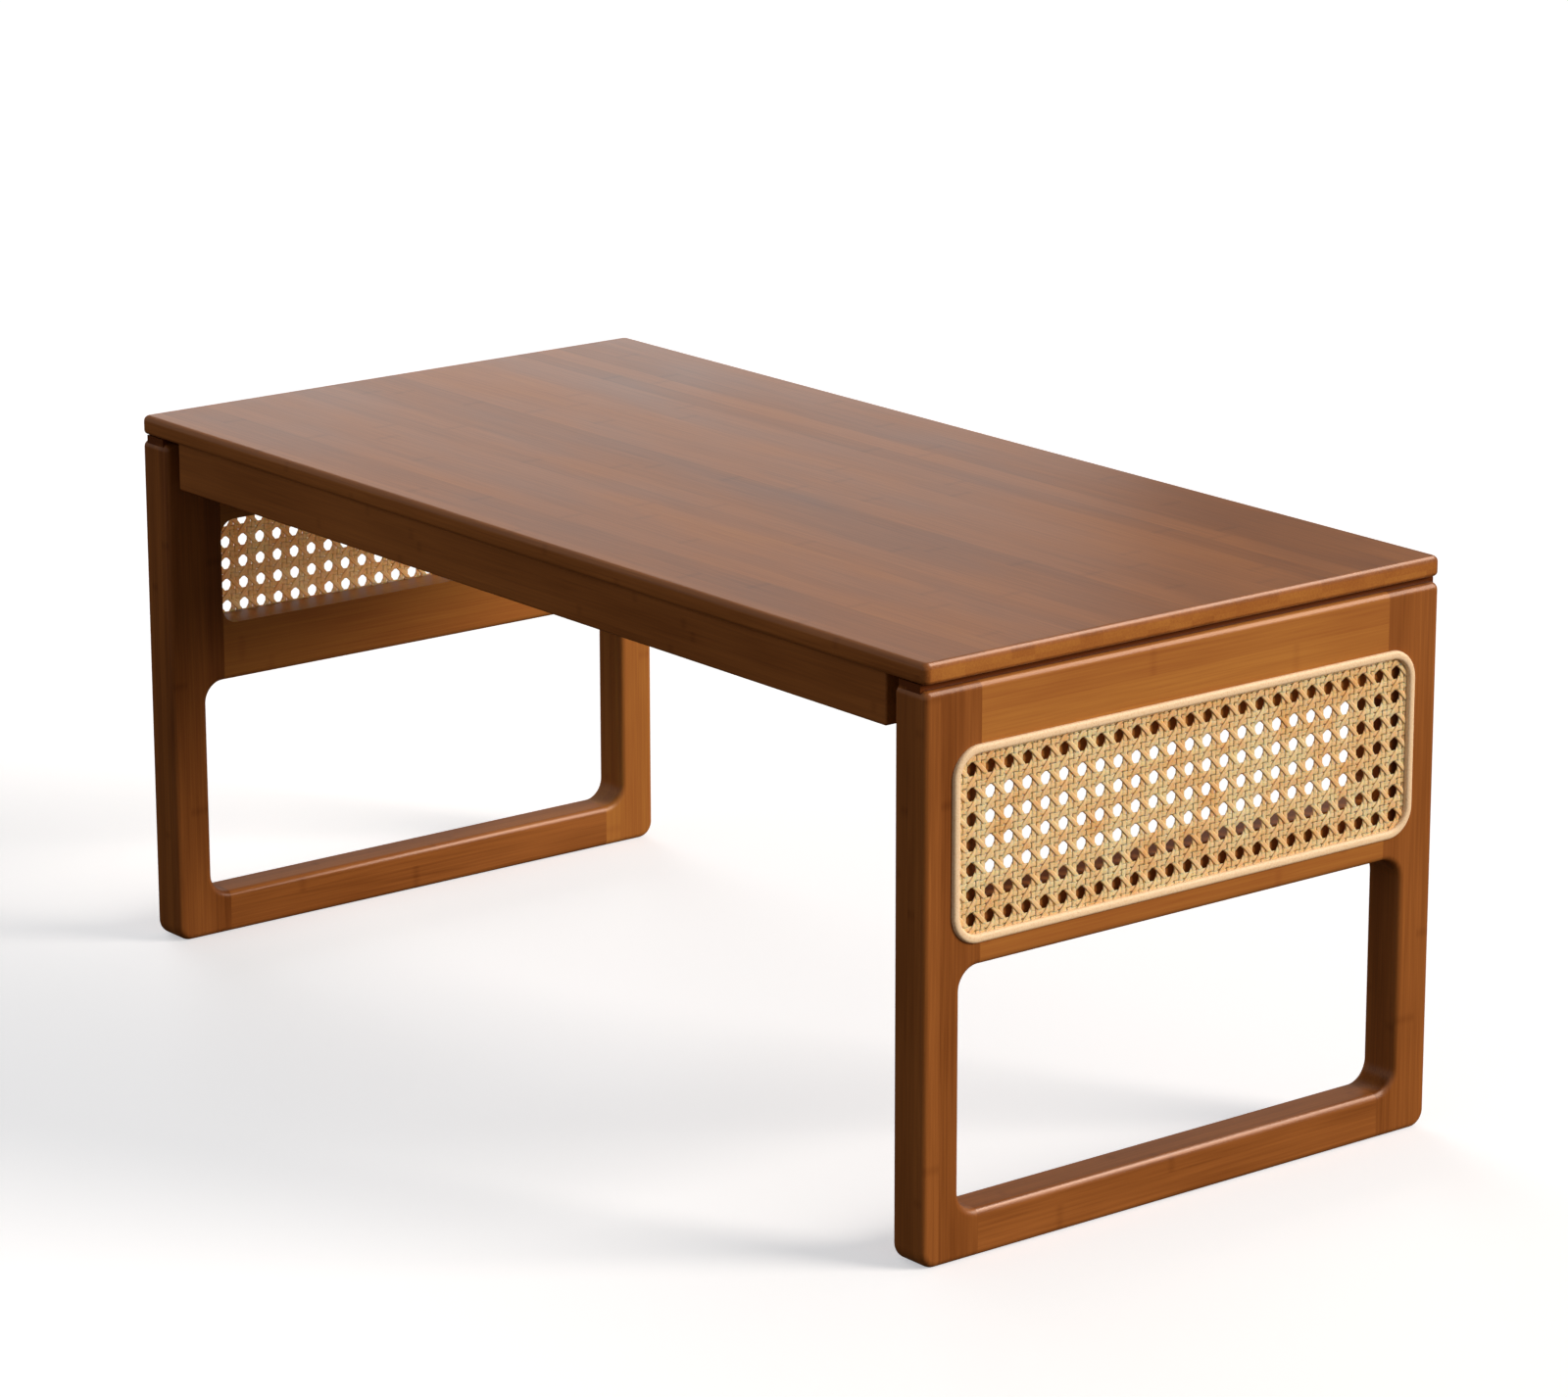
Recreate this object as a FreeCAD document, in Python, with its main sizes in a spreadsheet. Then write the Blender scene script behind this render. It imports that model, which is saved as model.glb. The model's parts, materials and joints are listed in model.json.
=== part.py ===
"""Low folding table of bamboo board, with cane webbing let into its two leg frames.

Millimetres. The origin is on the floor under the middle of the top, +X along the length, +Z up. The pieces
at the front and at the right-hand end are built, and the others are their mirror images.
"""

import FreeCAD
import Part
import math
import os
import Sketcher

DRIVING_SIZES = [
    ("top_length", 900, "table top, along X"),
    ("top_width", 445, "table top and leg frames, along Y"),
    ("table_height", 400, "floor to top surface"),
    ("top_thickness", 14, "board of the top"),
    ("top_corner_radius", 4, "corners of the top, seen from above"),
    ("top_bevel", 1.6, "eased edges of the top"),
    ("apron_height", 35.4, "apron and end rails, under the top"),
    ("apron_thickness", 18, "apron and end rails"),
    ("apron_setback", 4, "apron behind the edge of the top"),
    ("apron_bevel", 1.4, "eased lower edges of the apron"),
    ("apron_tenon", 10, "length of the end rails' tenons"),
    ("block_side", 44, "corner block, along each rail"),
    ("block_height", 32, "corner block, down from the top"),
    ("leg_thickness", 31, "leg frame, along X"),
    ("shadow_gap", 4, "shoulder of the leg frame under the top"),
    ("tongue_setback", 4, "tongue that bears the top, from the ends and the back of the leg frame"),
    ("tongue_reveal", 6, "tongue behind the face of the leg frame"),
    ("tongue_gap", 0.3, "tongue to the top"),
    ("hinge_gap", 12, "leg frame to the end rail"),
    ("leg_bevel", 2.4, "eased outer edges of the leg frame"),
    ("leg_top_corner", 4, "upper corners of the leg frame"),
    ("foot_radius", 12, "lower corners of the leg frame"),
    ("stile_width", 46.5, "stile as cut, up to the joint with the rails"),
    ("stile_waist", 31, "stile beside the opening"),
    ("bottom_rail_height", 32, "rail on the floor"),
    ("opening_height", 164, "opening in the lower half of the frame"),
    ("opening_bevel", 2, "eased edges of the opening"),
    ("middle_rail_height", 43.5, "rail under the cane"),
    ("window_height", 79, "window behind the cane"),
    ("window_corner_radius", 12, "corners of the window"),
    ("tenon_thickness", 11, "leg frame tenons, along X"),
    ("tenon_length", 24, "leg frame tenons, into the stile"),
    ("tenon_shoulder", 6, "rail edge to its tenon"),
    ("mortise_spare", 1, "room for glue past a tenon"),
    ("cane_middle", 276.6, "middle of the cane above the floor"),
    ("cane_span", 400, "cane panel, along Y"),
    ("cane_height", 130.2, "cane panel, along Z"),
    ("cane_radius", 21, "corners of the cane panel"),
    ("cane_thickness", 1.6, "webbing, and the rebate that it lies in"),
    ("rebate_spare", 0.1, "glue line round the cane panel"),
    ("hollow_depth", 4.2, "hollow behind the webbing, from the face of the frame"),
    ("bead_width", 6, "reed bead over the edge of the cane"),
    ("bead_height", 2.6, "reed bead over the face of the frame"),
    ("bead_bevel", 1.7, "eased crown of the bead"),
    ("cane_columns", 25, "holes along the panel"),
    ("cane_rows", 7, "holes up the panel"),
    ("cane_column_pitch", 15.3, "hole to hole along Y"),
    ("cane_row_pitch", 16.4, "hole to hole along Z"),
    ("cane_hole_width", 9, "hole in the webbing, along Y"),
    ("cane_hole_height", 9.2, "hole in the webbing, along Z"),
    ("cane_hole_flat", 3.6, "level sides of the hole"),
    ("hinge_offset", 120, "hinge from the middle of the table"),
    ("hinge_length", 100, "barrel of a hinge"),
    ("pin_above_apron", 3.4, "hinge pin over the lower edge of the apron"),
    ("pin_radius", 2.5, "hinge pin"),
    ("pin_clearance", 0.05, "bore round the hinge pin, on the radius"),
    ("knuckle_radius", 5.7, "barrel of a hinge"),
    ("knuckle_split", 0.4, "between the two knuckles, and round them"),
    ("leaf_thickness", 2.5, "hinge leaf"),
    ("leaf_reach", 24, "hinge leaf, up from the pin"),
    ("stop_length", 90, "stop block, along Y"),
    ("stop_height", 18, "stop block, along Z"),
    ("stop_drop", 6, "stop block under the top"),
    ("stop_gap", 0.3, "stop block to the leg frame"),
    ("magnet_length", 50, "bar magnet, along Y"),
    ("magnet_height", 10, "bar magnet, along Z"),
    ("magnet_depth", 5, "bar magnet, along X"),
    ("magnet_gap", 0.1, "bar magnet to its strike plate"),
    ("strike_margin", 2, "strike plate past the magnet, all round"),
    ("strike_thickness", 1.2, "strike plate, let in flush"),
]

# Places worked out from the driving sizes, as expressions
LEG_OUT = "size.top_length / 2"
LEG_IN = f"({LEG_OUT} - size.leg_thickness)"
RAIL_OUT = f"({LEG_IN} - size.hinge_gap)"
RAIL_IN = f"({RAIL_OUT} - size.apron_thickness)"
EDGE_Y = "size.top_width / 2"
APRON_OUT = f"({EDGE_Y} - size.apron_setback)"
APRON_IN = f"({APRON_OUT} - size.apron_thickness)"
TOP_UNDER = "(size.table_height - size.top_thickness)"
APRON_LOW = f"({TOP_UNDER} - size.apron_height)"
LEG_TOP = f"({TOP_UNDER} - size.shadow_gap)"
TONGUE_TOP = f"({TOP_UNDER} - size.tongue_gap)"
TONGUE_Y = f"({EDGE_Y} - size.tongue_setback)"
JOINT_Y = f"({EDGE_Y} - size.stile_width)"
OPENING_Y = f"({EDGE_Y} - size.stile_waist)"
OPENING_LOW = "size.bottom_rail_height"
OPENING_TOP = f"({OPENING_LOW} + size.opening_height)"
OPENING_RADIUS = "(size.stile_width - size.stile_waist)"
WINDOW_LOW = f"({OPENING_TOP} + size.middle_rail_height)"
WINDOW_TOP = f"({WINDOW_LOW} + size.window_height)"
PIN_X = f"({LEG_IN} - size.hinge_gap / 2)"
PIN_Z = f"({APRON_LOW} + size.pin_above_apron)"
HINGE_OUTER_Y = "(-size.hinge_offset - size.hinge_length / 2)"
HINGE_INNER_Y = "(-size.hinge_offset + size.hinge_length / 2)"
KNUCKLE_ROOM = "(size.knuckle_radius + size.knuckle_split)"
BLOCK_LOW = f"({TOP_UNDER} - size.block_height)"
STOP_TOP = f"({TOP_UNDER} - size.stop_drop)"
STOP_MIDDLE = f"({STOP_TOP} - size.stop_height / 2)"
MAGNET_FACE = f"({LEG_IN} - size.magnet_gap)"
STRIKE_Y = "(size.magnet_length / 2 + size.strike_margin)"
STRIKE_Z = "(size.magnet_height / 2 + size.strike_margin)"

ALONG_X = FreeCAD.Vector(1, 0, 0)
ALONG_Y = FreeCAD.Vector(0, 1, 0)
ALONG_Z = FreeCAD.Vector(0, 0, 1)
LEAST_CUT = 1.0  # a pocket takes away at least this volume
NEAR = 1e-4

doc = FreeCAD.newDocument("folding_table")
sheet = doc.addObject("Spreadsheet::Sheet", "size")
for row, (alias, number, note) in enumerate(DRIVING_SIZES, 1):
    sheet.set(f"A{row}", alias)
    sheet.set(f"B{row}", str(number))
    sheet.set(f"C{row}", note)
    sheet.setAlias(f"B{row}", alias)
doc.recompute()


def value(expression):
    """The number that an expression on the sheet gives."""
    return float(sheet.evalExpression(expression))


# Sketches


def new_body(label):
    """An empty body with its own origin planes."""
    body = doc.addObject("PartDesign::Body", label)
    body.Label = label
    return body


def new_sketch(body, name, role, offset="0"):
    """A sketch on one of the body's origin planes, moved along the plane's normal."""
    sketch = body.newObject("Sketcher::SketchObject", name)
    plane = next(item for item in body.Origin.OriginFeatures if item.Role == role)
    sketch.AttachmentSupport = [(plane, "")]
    sketch.MapMode = "FlatFace"
    sketch.setExpression("AttachmentOffset.Base.z", offset)
    return sketch


def bind(sketch, constraint, expression):
    """Add a dimension and bind it to the sheet."""
    number = sketch.addConstraint(constraint)
    sketch.setExpression(f"Constraints[{number}]", expression)


def pin_point(sketch, edge, end, across, up):
    """Hold one point of a sketch at its two distances from the sketch's origin."""
    bind(sketch, Sketcher.Constraint("DistanceX", -1, 1, edge, end, value(across)), across)
    bind(sketch, Sketcher.Constraint("DistanceY", -1, 1, edge, end, value(up)), up)


def polygon(sketch, corners):
    """A closed outline of straight lines through corners given as pairs of expressions."""
    points = [FreeCAD.Vector(value(across), value(up), 0) for across, up in corners]
    edges = []
    for here, there in zip(points, points[1:] + points[:1]):
        edges.append(sketch.addGeometry(Part.LineSegment(here, there)))
    for edge, following in zip(edges, edges[1:] + edges[:1]):
        sketch.addConstraint(Sketcher.Constraint("Coincident", edge, 2, following, 1))
    for edge, (across, up) in zip(edges, corners):
        pin_point(sketch, edge, 1, across, up)


def rectangle(sketch, left, right, low, high):
    """A closed outline with four square corners."""
    polygon(sketch, [(left, low), (right, low), (right, high), (left, high)])


def circle(sketch, across, up, radius):
    """A circle held by its centre and radius."""
    centre = FreeCAD.Vector(value(across), value(up), 0)
    ring = sketch.addGeometry(Part.Circle(centre, ALONG_Z, value(radius)))
    pin_point(sketch, ring, 3, across, up)
    bind(sketch, Sketcher.Constraint("Radius", ring, value(radius)), radius)


def rounded_rectangle(sketch, half_width, low, high, low_radius, high_radius):
    """An outline that is even about the sketch's upright axis, with tangent arcs for corners."""
    side, base, top = value(half_width), value(low), value(high)
    small, large = value(low_radius), value(high_radius)
    corner_arcs = [
        (side - small, base + small, small, -90),
        (side - large, top - large, large, 0),
        (large - side, top - large, large, 90),
        (small - side, base + small, small, 180),
    ]
    arcs = []
    for across, up, radius, first in corner_arcs:
        ring = Part.Circle(FreeCAD.Vector(across, up, 0), ALONG_Z, radius)
        turn = Part.ArcOfCircle(ring, math.radians(first), math.radians(first + 90))
        arcs.append(sketch.addGeometry(turn))
    lines = []
    for arc, following in zip(arcs, arcs[1:] + arcs[:1]):
        start = sketch.getPoint(arc, 2)
        end = sketch.getPoint(following, 1)
        lines.append(sketch.addGeometry(Part.LineSegment(start, end)))
    for arc, line, following in zip(arcs, lines, arcs[1:] + arcs[:1]):
        sketch.addConstraint(Sketcher.Constraint("Tangent", arc, 2, line, 1))
        sketch.addConstraint(Sketcher.Constraint("Tangent", line, 2, following, 1))
    right, upper, left, lower = lines
    for upright in (right, left):
        sketch.addConstraint(Sketcher.Constraint("Vertical", upright))
    for level in (upper, lower):
        sketch.addConstraint(Sketcher.Constraint("Horizontal", level))
    low_right, high_right, high_left, low_left = arcs
    for arc, twin, radius in ((low_right, low_left, low_radius), (high_right, high_left, high_radius)):
        bind(sketch, Sketcher.Constraint("Radius", arc, value(radius)), radius)
        sketch.addConstraint(Sketcher.Constraint("Equal", arc, twin))
    bind(sketch, Sketcher.Constraint("DistanceX", -1, 1, right, 1, side), half_width)
    bind(sketch, Sketcher.Constraint("DistanceX", -1, 1, left, 1, -side), f"-({half_width})")
    bind(sketch, Sketcher.Constraint("DistanceY", -1, 1, lower, 1, base), low)
    bind(sketch, Sketcher.Constraint("DistanceY", -1, 1, upper, 1, top), high)


# Features


def pad(body, sketch, name, length, both_ways=False):
    """Thicken a sketch along its normal, or evenly to both sides."""
    feature = body.newObject("PartDesign::Pad", name)
    feature.Profile = sketch
    feature.setExpression("Length", length)
    feature.SideType = "Symmetric" if both_ways else "One side"
    doc.recompute()
    return feature


def pocket(body, sketch, name, depth=None, along_normal=False):
    """Cut a sketch into the body against its normal, or along it, to a depth or right through."""
    before = body.Shape.Volume
    feature = body.newObject("PartDesign::Pocket", name)
    feature.Profile = sketch
    feature.Reversed = along_normal
    if depth is None:
        feature.Type = "ThroughAll"
    else:
        feature.setExpression("Length", depth)
    doc.recompute()
    if body.Shape.Volume > before - LEAST_CUT:
        raise RuntimeError(f"{name} of {body.Label} cuts nothing")
    return feature


def ease_edges(body, feature, name, bevel, chosen):
    """Bevel the edges of a feature that a test picks by the box round each edge."""
    names = []
    for number, edge in enumerate(feature.Shape.Edges, 1):
        if chosen(edge.BoundBox):
            names.append(f"Edge{number}")
    easing = body.newObject("PartDesign::Chamfer", name)
    easing.Base = (feature, names)
    easing.setExpression("Size", bevel)
    doc.recompute()
    return easing


def block(name, x, y, z):
    """A square-edged block between two expressions on each axis."""
    piece = doc.addObject("Part::Box", name)
    piece.Label = name
    for length, axis, (low, high) in zip(("Length", "Width", "Height"), "xyz", (x, y, z)):
        piece.setExpression(length, f"{high} - ({low})")
        piece.setExpression(f"Placement.Base.{axis}", low)
    return piece


def joined(label, pieces):
    """Several shapes made one."""
    whole = doc.addObject("Part::MultiFuse", label)
    whole.Label = label
    whole.Shapes = pieces
    return whole


def shared(label, base, tool):
    """What two shapes have in common."""
    piece = doc.addObject("Part::Common", label)
    piece.Label = label
    piece.Base = base
    piece.Tool = tool
    return piece


def cut(label, base, tool):
    """One shape with another taken out."""
    piece = doc.addObject("Part::Cut", label)
    piece.Label = label
    piece.Base = base
    piece.Tool = tool
    return piece


def mirrored(source, label, normal):
    """The twin of a piece across the middle of the table."""
    twin = doc.addObject("Part::Mirroring", label)
    twin.Label = label
    twin.Source = source
    twin.Normal = normal
    return twin


def four_corners(piece, label):
    """A piece at the front right and its three twins, so that each corner of the table has one."""
    piece.Label = f"front_right_{label}"
    rear = mirrored(piece, f"rear_right_{label}", ALONG_Y)
    return [
        piece,
        rear,
        mirrored(piece, f"front_left_{label}", ALONG_X),
        mirrored(rear, f"rear_left_{label}", ALONG_X),
    ]


def both_ends(piece, label):
    """A piece at the right-hand end and its twin at the left."""
    piece.Label = f"right_{label}"
    return [piece, mirrored(piece, f"left_{label}", ALONG_X)]


# Top and apron frame


def table_top():
    """A thin board with eased edges."""
    body = new_body("table_top")
    outline = new_sketch(body, "top_outline", "XY_Plane", TOP_UNDER)
    radius = "size.top_corner_radius"
    rounded_rectangle(outline, LEG_OUT, f"-{EDGE_Y}", EDGE_Y, radius, radius)
    board = pad(body, outline, "top_board", "size.top_thickness")
    ease_edges(body, board, "top_easing", "size.top_bevel", lambda box: box.ZLength < NEAR)
    return [body]


def aprons():
    """The long rails, set back from the edge of the top, with mortises for the end rails."""
    body = new_body("front_apron")
    face = new_sketch(body, "apron_face", "XZ_Plane", APRON_OUT)
    rectangle(face, f"-{RAIL_OUT}", RAIL_OUT, APRON_LOW, TOP_UNDER)
    rail = pad(body, face, "apron_rail", "-size.apron_thickness")
    low = value(APRON_LOW)
    ease_edges(
        body,
        rail,
        "apron_easing",
        "size.apron_bevel",
        lambda box: box.ZMax < low + NEAR and box.YLength < NEAR,
    )
    mortises = new_sketch(body, "apron_mortises", "XZ_Plane", APRON_IN)
    inner, outer = tenon_span(RAIL_IN, RAIL_OUT)
    low_z, high_z = tenon_span(APRON_LOW, TOP_UNDER)
    rectangle(mortises, inner, outer, low_z, high_z)
    rectangle(mortises, f"-{outer}", f"-{inner}", low_z, high_z)
    pocket(body, mortises, "apron_mortise_cuts", "size.apron_tenon", along_normal=True)
    return [body, mirrored(body, "rear_apron", ALONG_Y)]


def tenon_span(low, high):
    """The part of a rail between two places that its tenon takes up."""
    return f"({low} + size.tenon_shoulder)", f"({high} - size.tenon_shoulder)"


def end_rails():
    """The short rails between the aprons, tenoned into them, which carry the hinges."""
    rail = block("end_rail_blank", (RAIL_IN, RAIL_OUT), (f"-{APRON_IN}", APRON_IN), (APRON_LOW, TOP_UNDER))
    reach = f"({APRON_IN} + size.apron_tenon)"
    tenons = block(
        "end_rail_tenons",
        tenon_span(RAIL_IN, RAIL_OUT),
        (f"-{reach}", reach),
        tenon_span(APRON_LOW, TOP_UNDER),
    )
    return both_ends(joined("right_end_rail", [rail, tenons]), "end_rail")


def corner_blocks():
    """Three-cornered blocks glued into the apron frame, which the top is screwed down through."""
    body = new_body("corner_block")
    outline = new_sketch(body, "block_outline", "XY_Plane", BLOCK_LOW)
    corner = f"-{APRON_IN}"
    polygon(
        outline,
        [
            (RAIL_IN, corner),
            (RAIL_IN, f"{corner} + size.block_side"),
            (f"{RAIL_IN} - size.block_side", corner),
        ],
    )
    pad(body, outline, "block_wedge", "size.block_height")
    return four_corners(body, "corner_block")


# Leg frame


def leg_frame_form():
    """The leg frame as routed after it is glued up: outline, tongue, openings, seat of the cane and edges."""
    body = new_body("leg_frame_form")
    low, high = value(OPENING_LOW), value(OPENING_TOP)
    waist = value(OPENING_Y)

    outline = new_sketch(body, "frame_outline", "YZ_Plane", LEG_IN)
    rounded_rectangle(outline, EDGE_Y, "0", LEG_TOP, "size.foot_radius", "size.leg_top_corner")
    slab = pad(body, outline, "frame_slab", "size.leg_thickness")
    ease_edges(body, slab, "frame_easing", "size.leg_bevel", lambda box: box.XLength < NEAR)

    tongue = new_sketch(body, "tongue_outline", "XY_Plane", LEG_TOP)
    tongue_x = (f"{LEG_IN} + size.tongue_setback", f"{LEG_OUT} - size.tongue_reveal")
    rectangle(tongue, *tongue_x, f"-{TONGUE_Y}", TONGUE_Y)
    pad(body, tongue, "tongue", f"{TONGUE_TOP} - {LEG_TOP}")

    opening = new_sketch(body, "opening_outline", "YZ_Plane", LEG_OUT)
    rounded_rectangle(opening, OPENING_Y, OPENING_LOW, OPENING_TOP, OPENING_RADIUS, OPENING_RADIUS)
    opened = pocket(body, opening, "opening_cut")
    ease_edges(
        body,
        opened,
        "opening_easing",
        "size.opening_bevel",
        lambda box: box.XLength < NEAR
        and box.ZMin > low - NEAR
        and box.ZMax < high + NEAR
        and abs(box.Center.y) < waist + NEAR,
    )

    window = new_sketch(body, "window_outline", "YZ_Plane", LEG_OUT)
    radius = "size.window_corner_radius"
    rounded_rectangle(window, JOINT_Y, WINDOW_LOW, WINDOW_TOP, radius, radius)
    pocket(body, window, "window_cut")

    rebate = new_sketch(body, "cane_rebate", "YZ_Plane", LEG_OUT)
    cane_outline(rebate, "-size.rebate_spare")
    pocket(body, rebate, "cane_rebate_cut", "size.cane_thickness")
    hollow = new_sketch(body, "cane_hollow", "YZ_Plane", LEG_OUT)
    cane_outline(hollow, "size.bead_width")
    pocket(body, hollow, "cane_hollow_cut", "size.hollow_depth")

    recess = new_sketch(body, "strike_recess", "YZ_Plane", LEG_IN)
    rectangle(recess, f"-{STRIKE_Y}", STRIKE_Y, f"{STOP_MIDDLE} - {STRIKE_Z}", f"{STOP_MIDDLE} + {STRIKE_Z}")
    pocket(body, recess, "strike_recess_cut", "size.strike_thickness", along_normal=True)
    return body


def cane_outline(sketch, inset):
    """The outline of the cane panel, moved in by an expression."""
    half_width = f"size.cane_span / 2 - ({inset})"
    half_height = f"(size.cane_height / 2 - ({inset}))"
    radius = f"size.cane_radius - ({inset})"
    low = f"size.cane_middle - {half_height}"
    high = f"size.cane_middle + {half_height}"
    rounded_rectangle(sketch, half_width, low, high, radius, radius)


def leg_frame():
    """The five pieces of a leg frame, cut apart at the joints, with tenons on the rails."""
    form = leg_frame_form()
    leg_x = (LEG_IN, LEG_OUT)
    middle_x = f"({LEG_OUT} - size.leg_thickness / 2)"
    tenon_x = (f"{middle_x} - size.tenon_thickness / 2", f"({middle_x} + size.tenon_thickness / 2)")
    tenon_end = f"({JOINT_Y} + size.tenon_length)"
    mortise_end = f"({tenon_end} + size.mortise_spare)"
    middle_of_window = f"({WINDOW_LOW} + size.window_height / 2)"
    rails = {
        "bottom": ("0", OPENING_LOW, "0", OPENING_LOW),
        "middle": (OPENING_TOP, middle_of_window, OPENING_TOP, WINDOW_LOW),
        "top": (middle_of_window, TONGUE_TOP, WINDOW_TOP, LEG_TOP),
    }
    pieces = []
    mortises = []
    for name, (blank_low, blank_high, rail_low, rail_high) in rails.items():
        blank = block(f"{name}_rail_blank", leg_x, (f"-{JOINT_Y}", JOINT_Y), (blank_low, blank_high))
        rail = shared(f"{name}_rail_routed", form, blank)
        tenon_z = tenon_span(rail_low, rail_high)
        tenons = []
        for side, ends in (("front", (f"-{tenon_end}", f"-{JOINT_Y}")), ("rear", (JOINT_Y, tenon_end))):
            tenons.append(block(f"{name}_rail_{side}_tenon", tenon_x, ends, tenon_z))
        mortises.append(block(f"{name}_mortise", tenon_x, (f"-{mortise_end}", f"-{JOINT_Y}"), tenon_z))
        pieces += both_ends(joined(f"right_leg_{name}_rail", [rail] + tenons), f"leg_{name}_rail")
    blank = block("stile_blank", leg_x, (f"-{EDGE_Y}", f"-{JOINT_Y}"), ("0", TONGUE_TOP))
    routed = shared("stile_routed", form, blank)
    stile = cut("front_right_stile", routed, joined("stile_mortises", mortises))
    return pieces + four_corners(stile, "stile")


# Cane panel


def cane_hole(x, y, z):
    """One gap of the webbing, given six sides: the crossing strands leave it nearly round."""
    point = value("size.cane_hole_width") / 2
    flat = value("size.cane_hole_flat") / 2
    up = value("size.cane_hole_height") / 2
    corners = [(point, 0), (flat, up), (-flat, up), (-point, 0), (-flat, -up), (flat, -up)]
    points = [FreeCAD.Vector(x, y + across, z + rise) for across, rise in corners]
    return Part.makePolygon(points + points[:1])


def cane_panels():
    """Flat webbing, one holed face thickened, whose plain edge lies in the rebate under the bead."""
    outline = doc.addObject("Sketcher::SketchObject", "cane_panel_outline")
    facing_x = FreeCAD.Rotation(ALONG_Y, ALONG_Z, ALONG_X, "ZXY")
    outline.Placement = FreeCAD.Placement(FreeCAD.Vector(), facing_x)
    outline.setExpression("Placement.Base.x", f"{LEG_OUT} - size.cane_thickness")
    cane_outline(outline, "0")
    doc.recompute()
    columns, rows = int(value("size.cane_columns")), int(value("size.cane_rows"))
    column_pitch, row_pitch = value("size.cane_column_pitch"), value("size.cane_row_pitch")
    back = outline.Placement.Base.x
    first_y = -column_pitch * (columns - 1) / 2
    first_z = value("size.cane_middle") - row_pitch * (rows - 1) / 2
    wires = [outline.Shape.Wires[0]]
    for column in range(columns):
        for row in range(rows):
            wires.append(cane_hole(back, first_y + column * column_pitch, first_z + row * row_pitch))
    holed_face = Part.makeFace(Part.makeCompound(wires), "Part::FaceMakerBullseye")
    panel = doc.addObject("Part::Feature", "cane_panel")
    panel.Shape = holed_face.extrude(ALONG_X * value("size.cane_thickness"))
    return both_ends(panel, "cane_panel")


def cane_beads():
    """The reed bead over the edge of the webbing, with its crown eased."""
    body = new_body("cane_bead")
    ring = new_sketch(body, "bead_ring", "YZ_Plane", LEG_OUT)
    cane_outline(ring, "0")
    cane_outline(ring, "size.bead_width")
    bead = pad(body, ring, "bead_strip", "size.bead_height")
    crown = value(LEG_OUT) + value("size.bead_height")
    ease_edges(body, bead, "bead_crown", "size.bead_bevel", lambda box: box.XMin > crown - NEAR)
    return both_ends(body, "cane_bead")


# Hinges, stops and catches


def hinge_leaf(name, plate_x, notch_y):
    """A leaf with its rolled barrel, notched where the other leaf's knuckle turns."""
    body = new_body(name)
    plate = new_sketch(body, f"{name}_plate", "XZ_Plane", "size.hinge_offset")
    rectangle(plate, *plate_x, PIN_Z, f"{PIN_Z} + size.leaf_reach")
    pad(body, plate, f"{name}_flat", "size.hinge_length", both_ways=True)
    barrel = new_sketch(body, f"{name}_barrel", "XZ_Plane", "size.hinge_offset")
    circle(barrel, PIN_X, PIN_Z, "size.knuckle_radius")
    pad(body, barrel, f"{name}_roll", "size.hinge_length", both_ways=True)
    notch = new_sketch(body, f"{name}_notch", "YZ_Plane", LEG_IN)
    rectangle(notch, *notch_y, f"{PIN_Z} - {KNUCKLE_ROOM}", f"{PIN_Z} + {KNUCKLE_ROOM}")
    pocket(body, notch, f"{name}_notch_cut")
    bore = new_sketch(body, f"{name}_bore", "XZ_Plane", f"-{HINGE_OUTER_Y}")
    circle(bore, PIN_X, PIN_Z, "size.pin_radius + size.pin_clearance")
    pocket(body, bore, f"{name}_pin_bore")
    return body


def hinges():
    """Butt hinges from end rail to leg, handed front and rear so that the leg can't slide off its pins."""
    split = "size.knuckle_split / 2"
    fixed = hinge_leaf(
        "hinge_fixed_leaf",
        (RAIL_OUT, f"{RAIL_OUT} + size.leaf_thickness"),
        (f"-size.hinge_offset - {split}", f"{HINGE_INNER_Y} + size.knuckle_split"),
    )
    moving = hinge_leaf(
        "hinge_leg_leaf",
        (f"{LEG_IN} - size.leaf_thickness", LEG_IN),
        (f"{HINGE_OUTER_Y} - size.knuckle_split", f"-size.hinge_offset + {split}"),
    )
    pin = doc.addObject("Part::Cylinder", "hinge_pin")
    pin.Placement = FreeCAD.Placement(FreeCAD.Vector(), FreeCAD.Rotation(ALONG_X, -90))
    pin.setExpression("Radius", "size.pin_radius")
    pin.setExpression("Height", "size.hinge_length")
    for axis, place in zip("xyz", (PIN_X, HINGE_OUTER_Y, PIN_Z)):
        pin.setExpression(f"Placement.Base.{axis}", place)
    return (
        four_corners(fixed, "hinge_fixed_leaf")
        + four_corners(moving, "hinge_leg_leaf")
        + four_corners(pin, "hinge_pin")
    )


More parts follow.
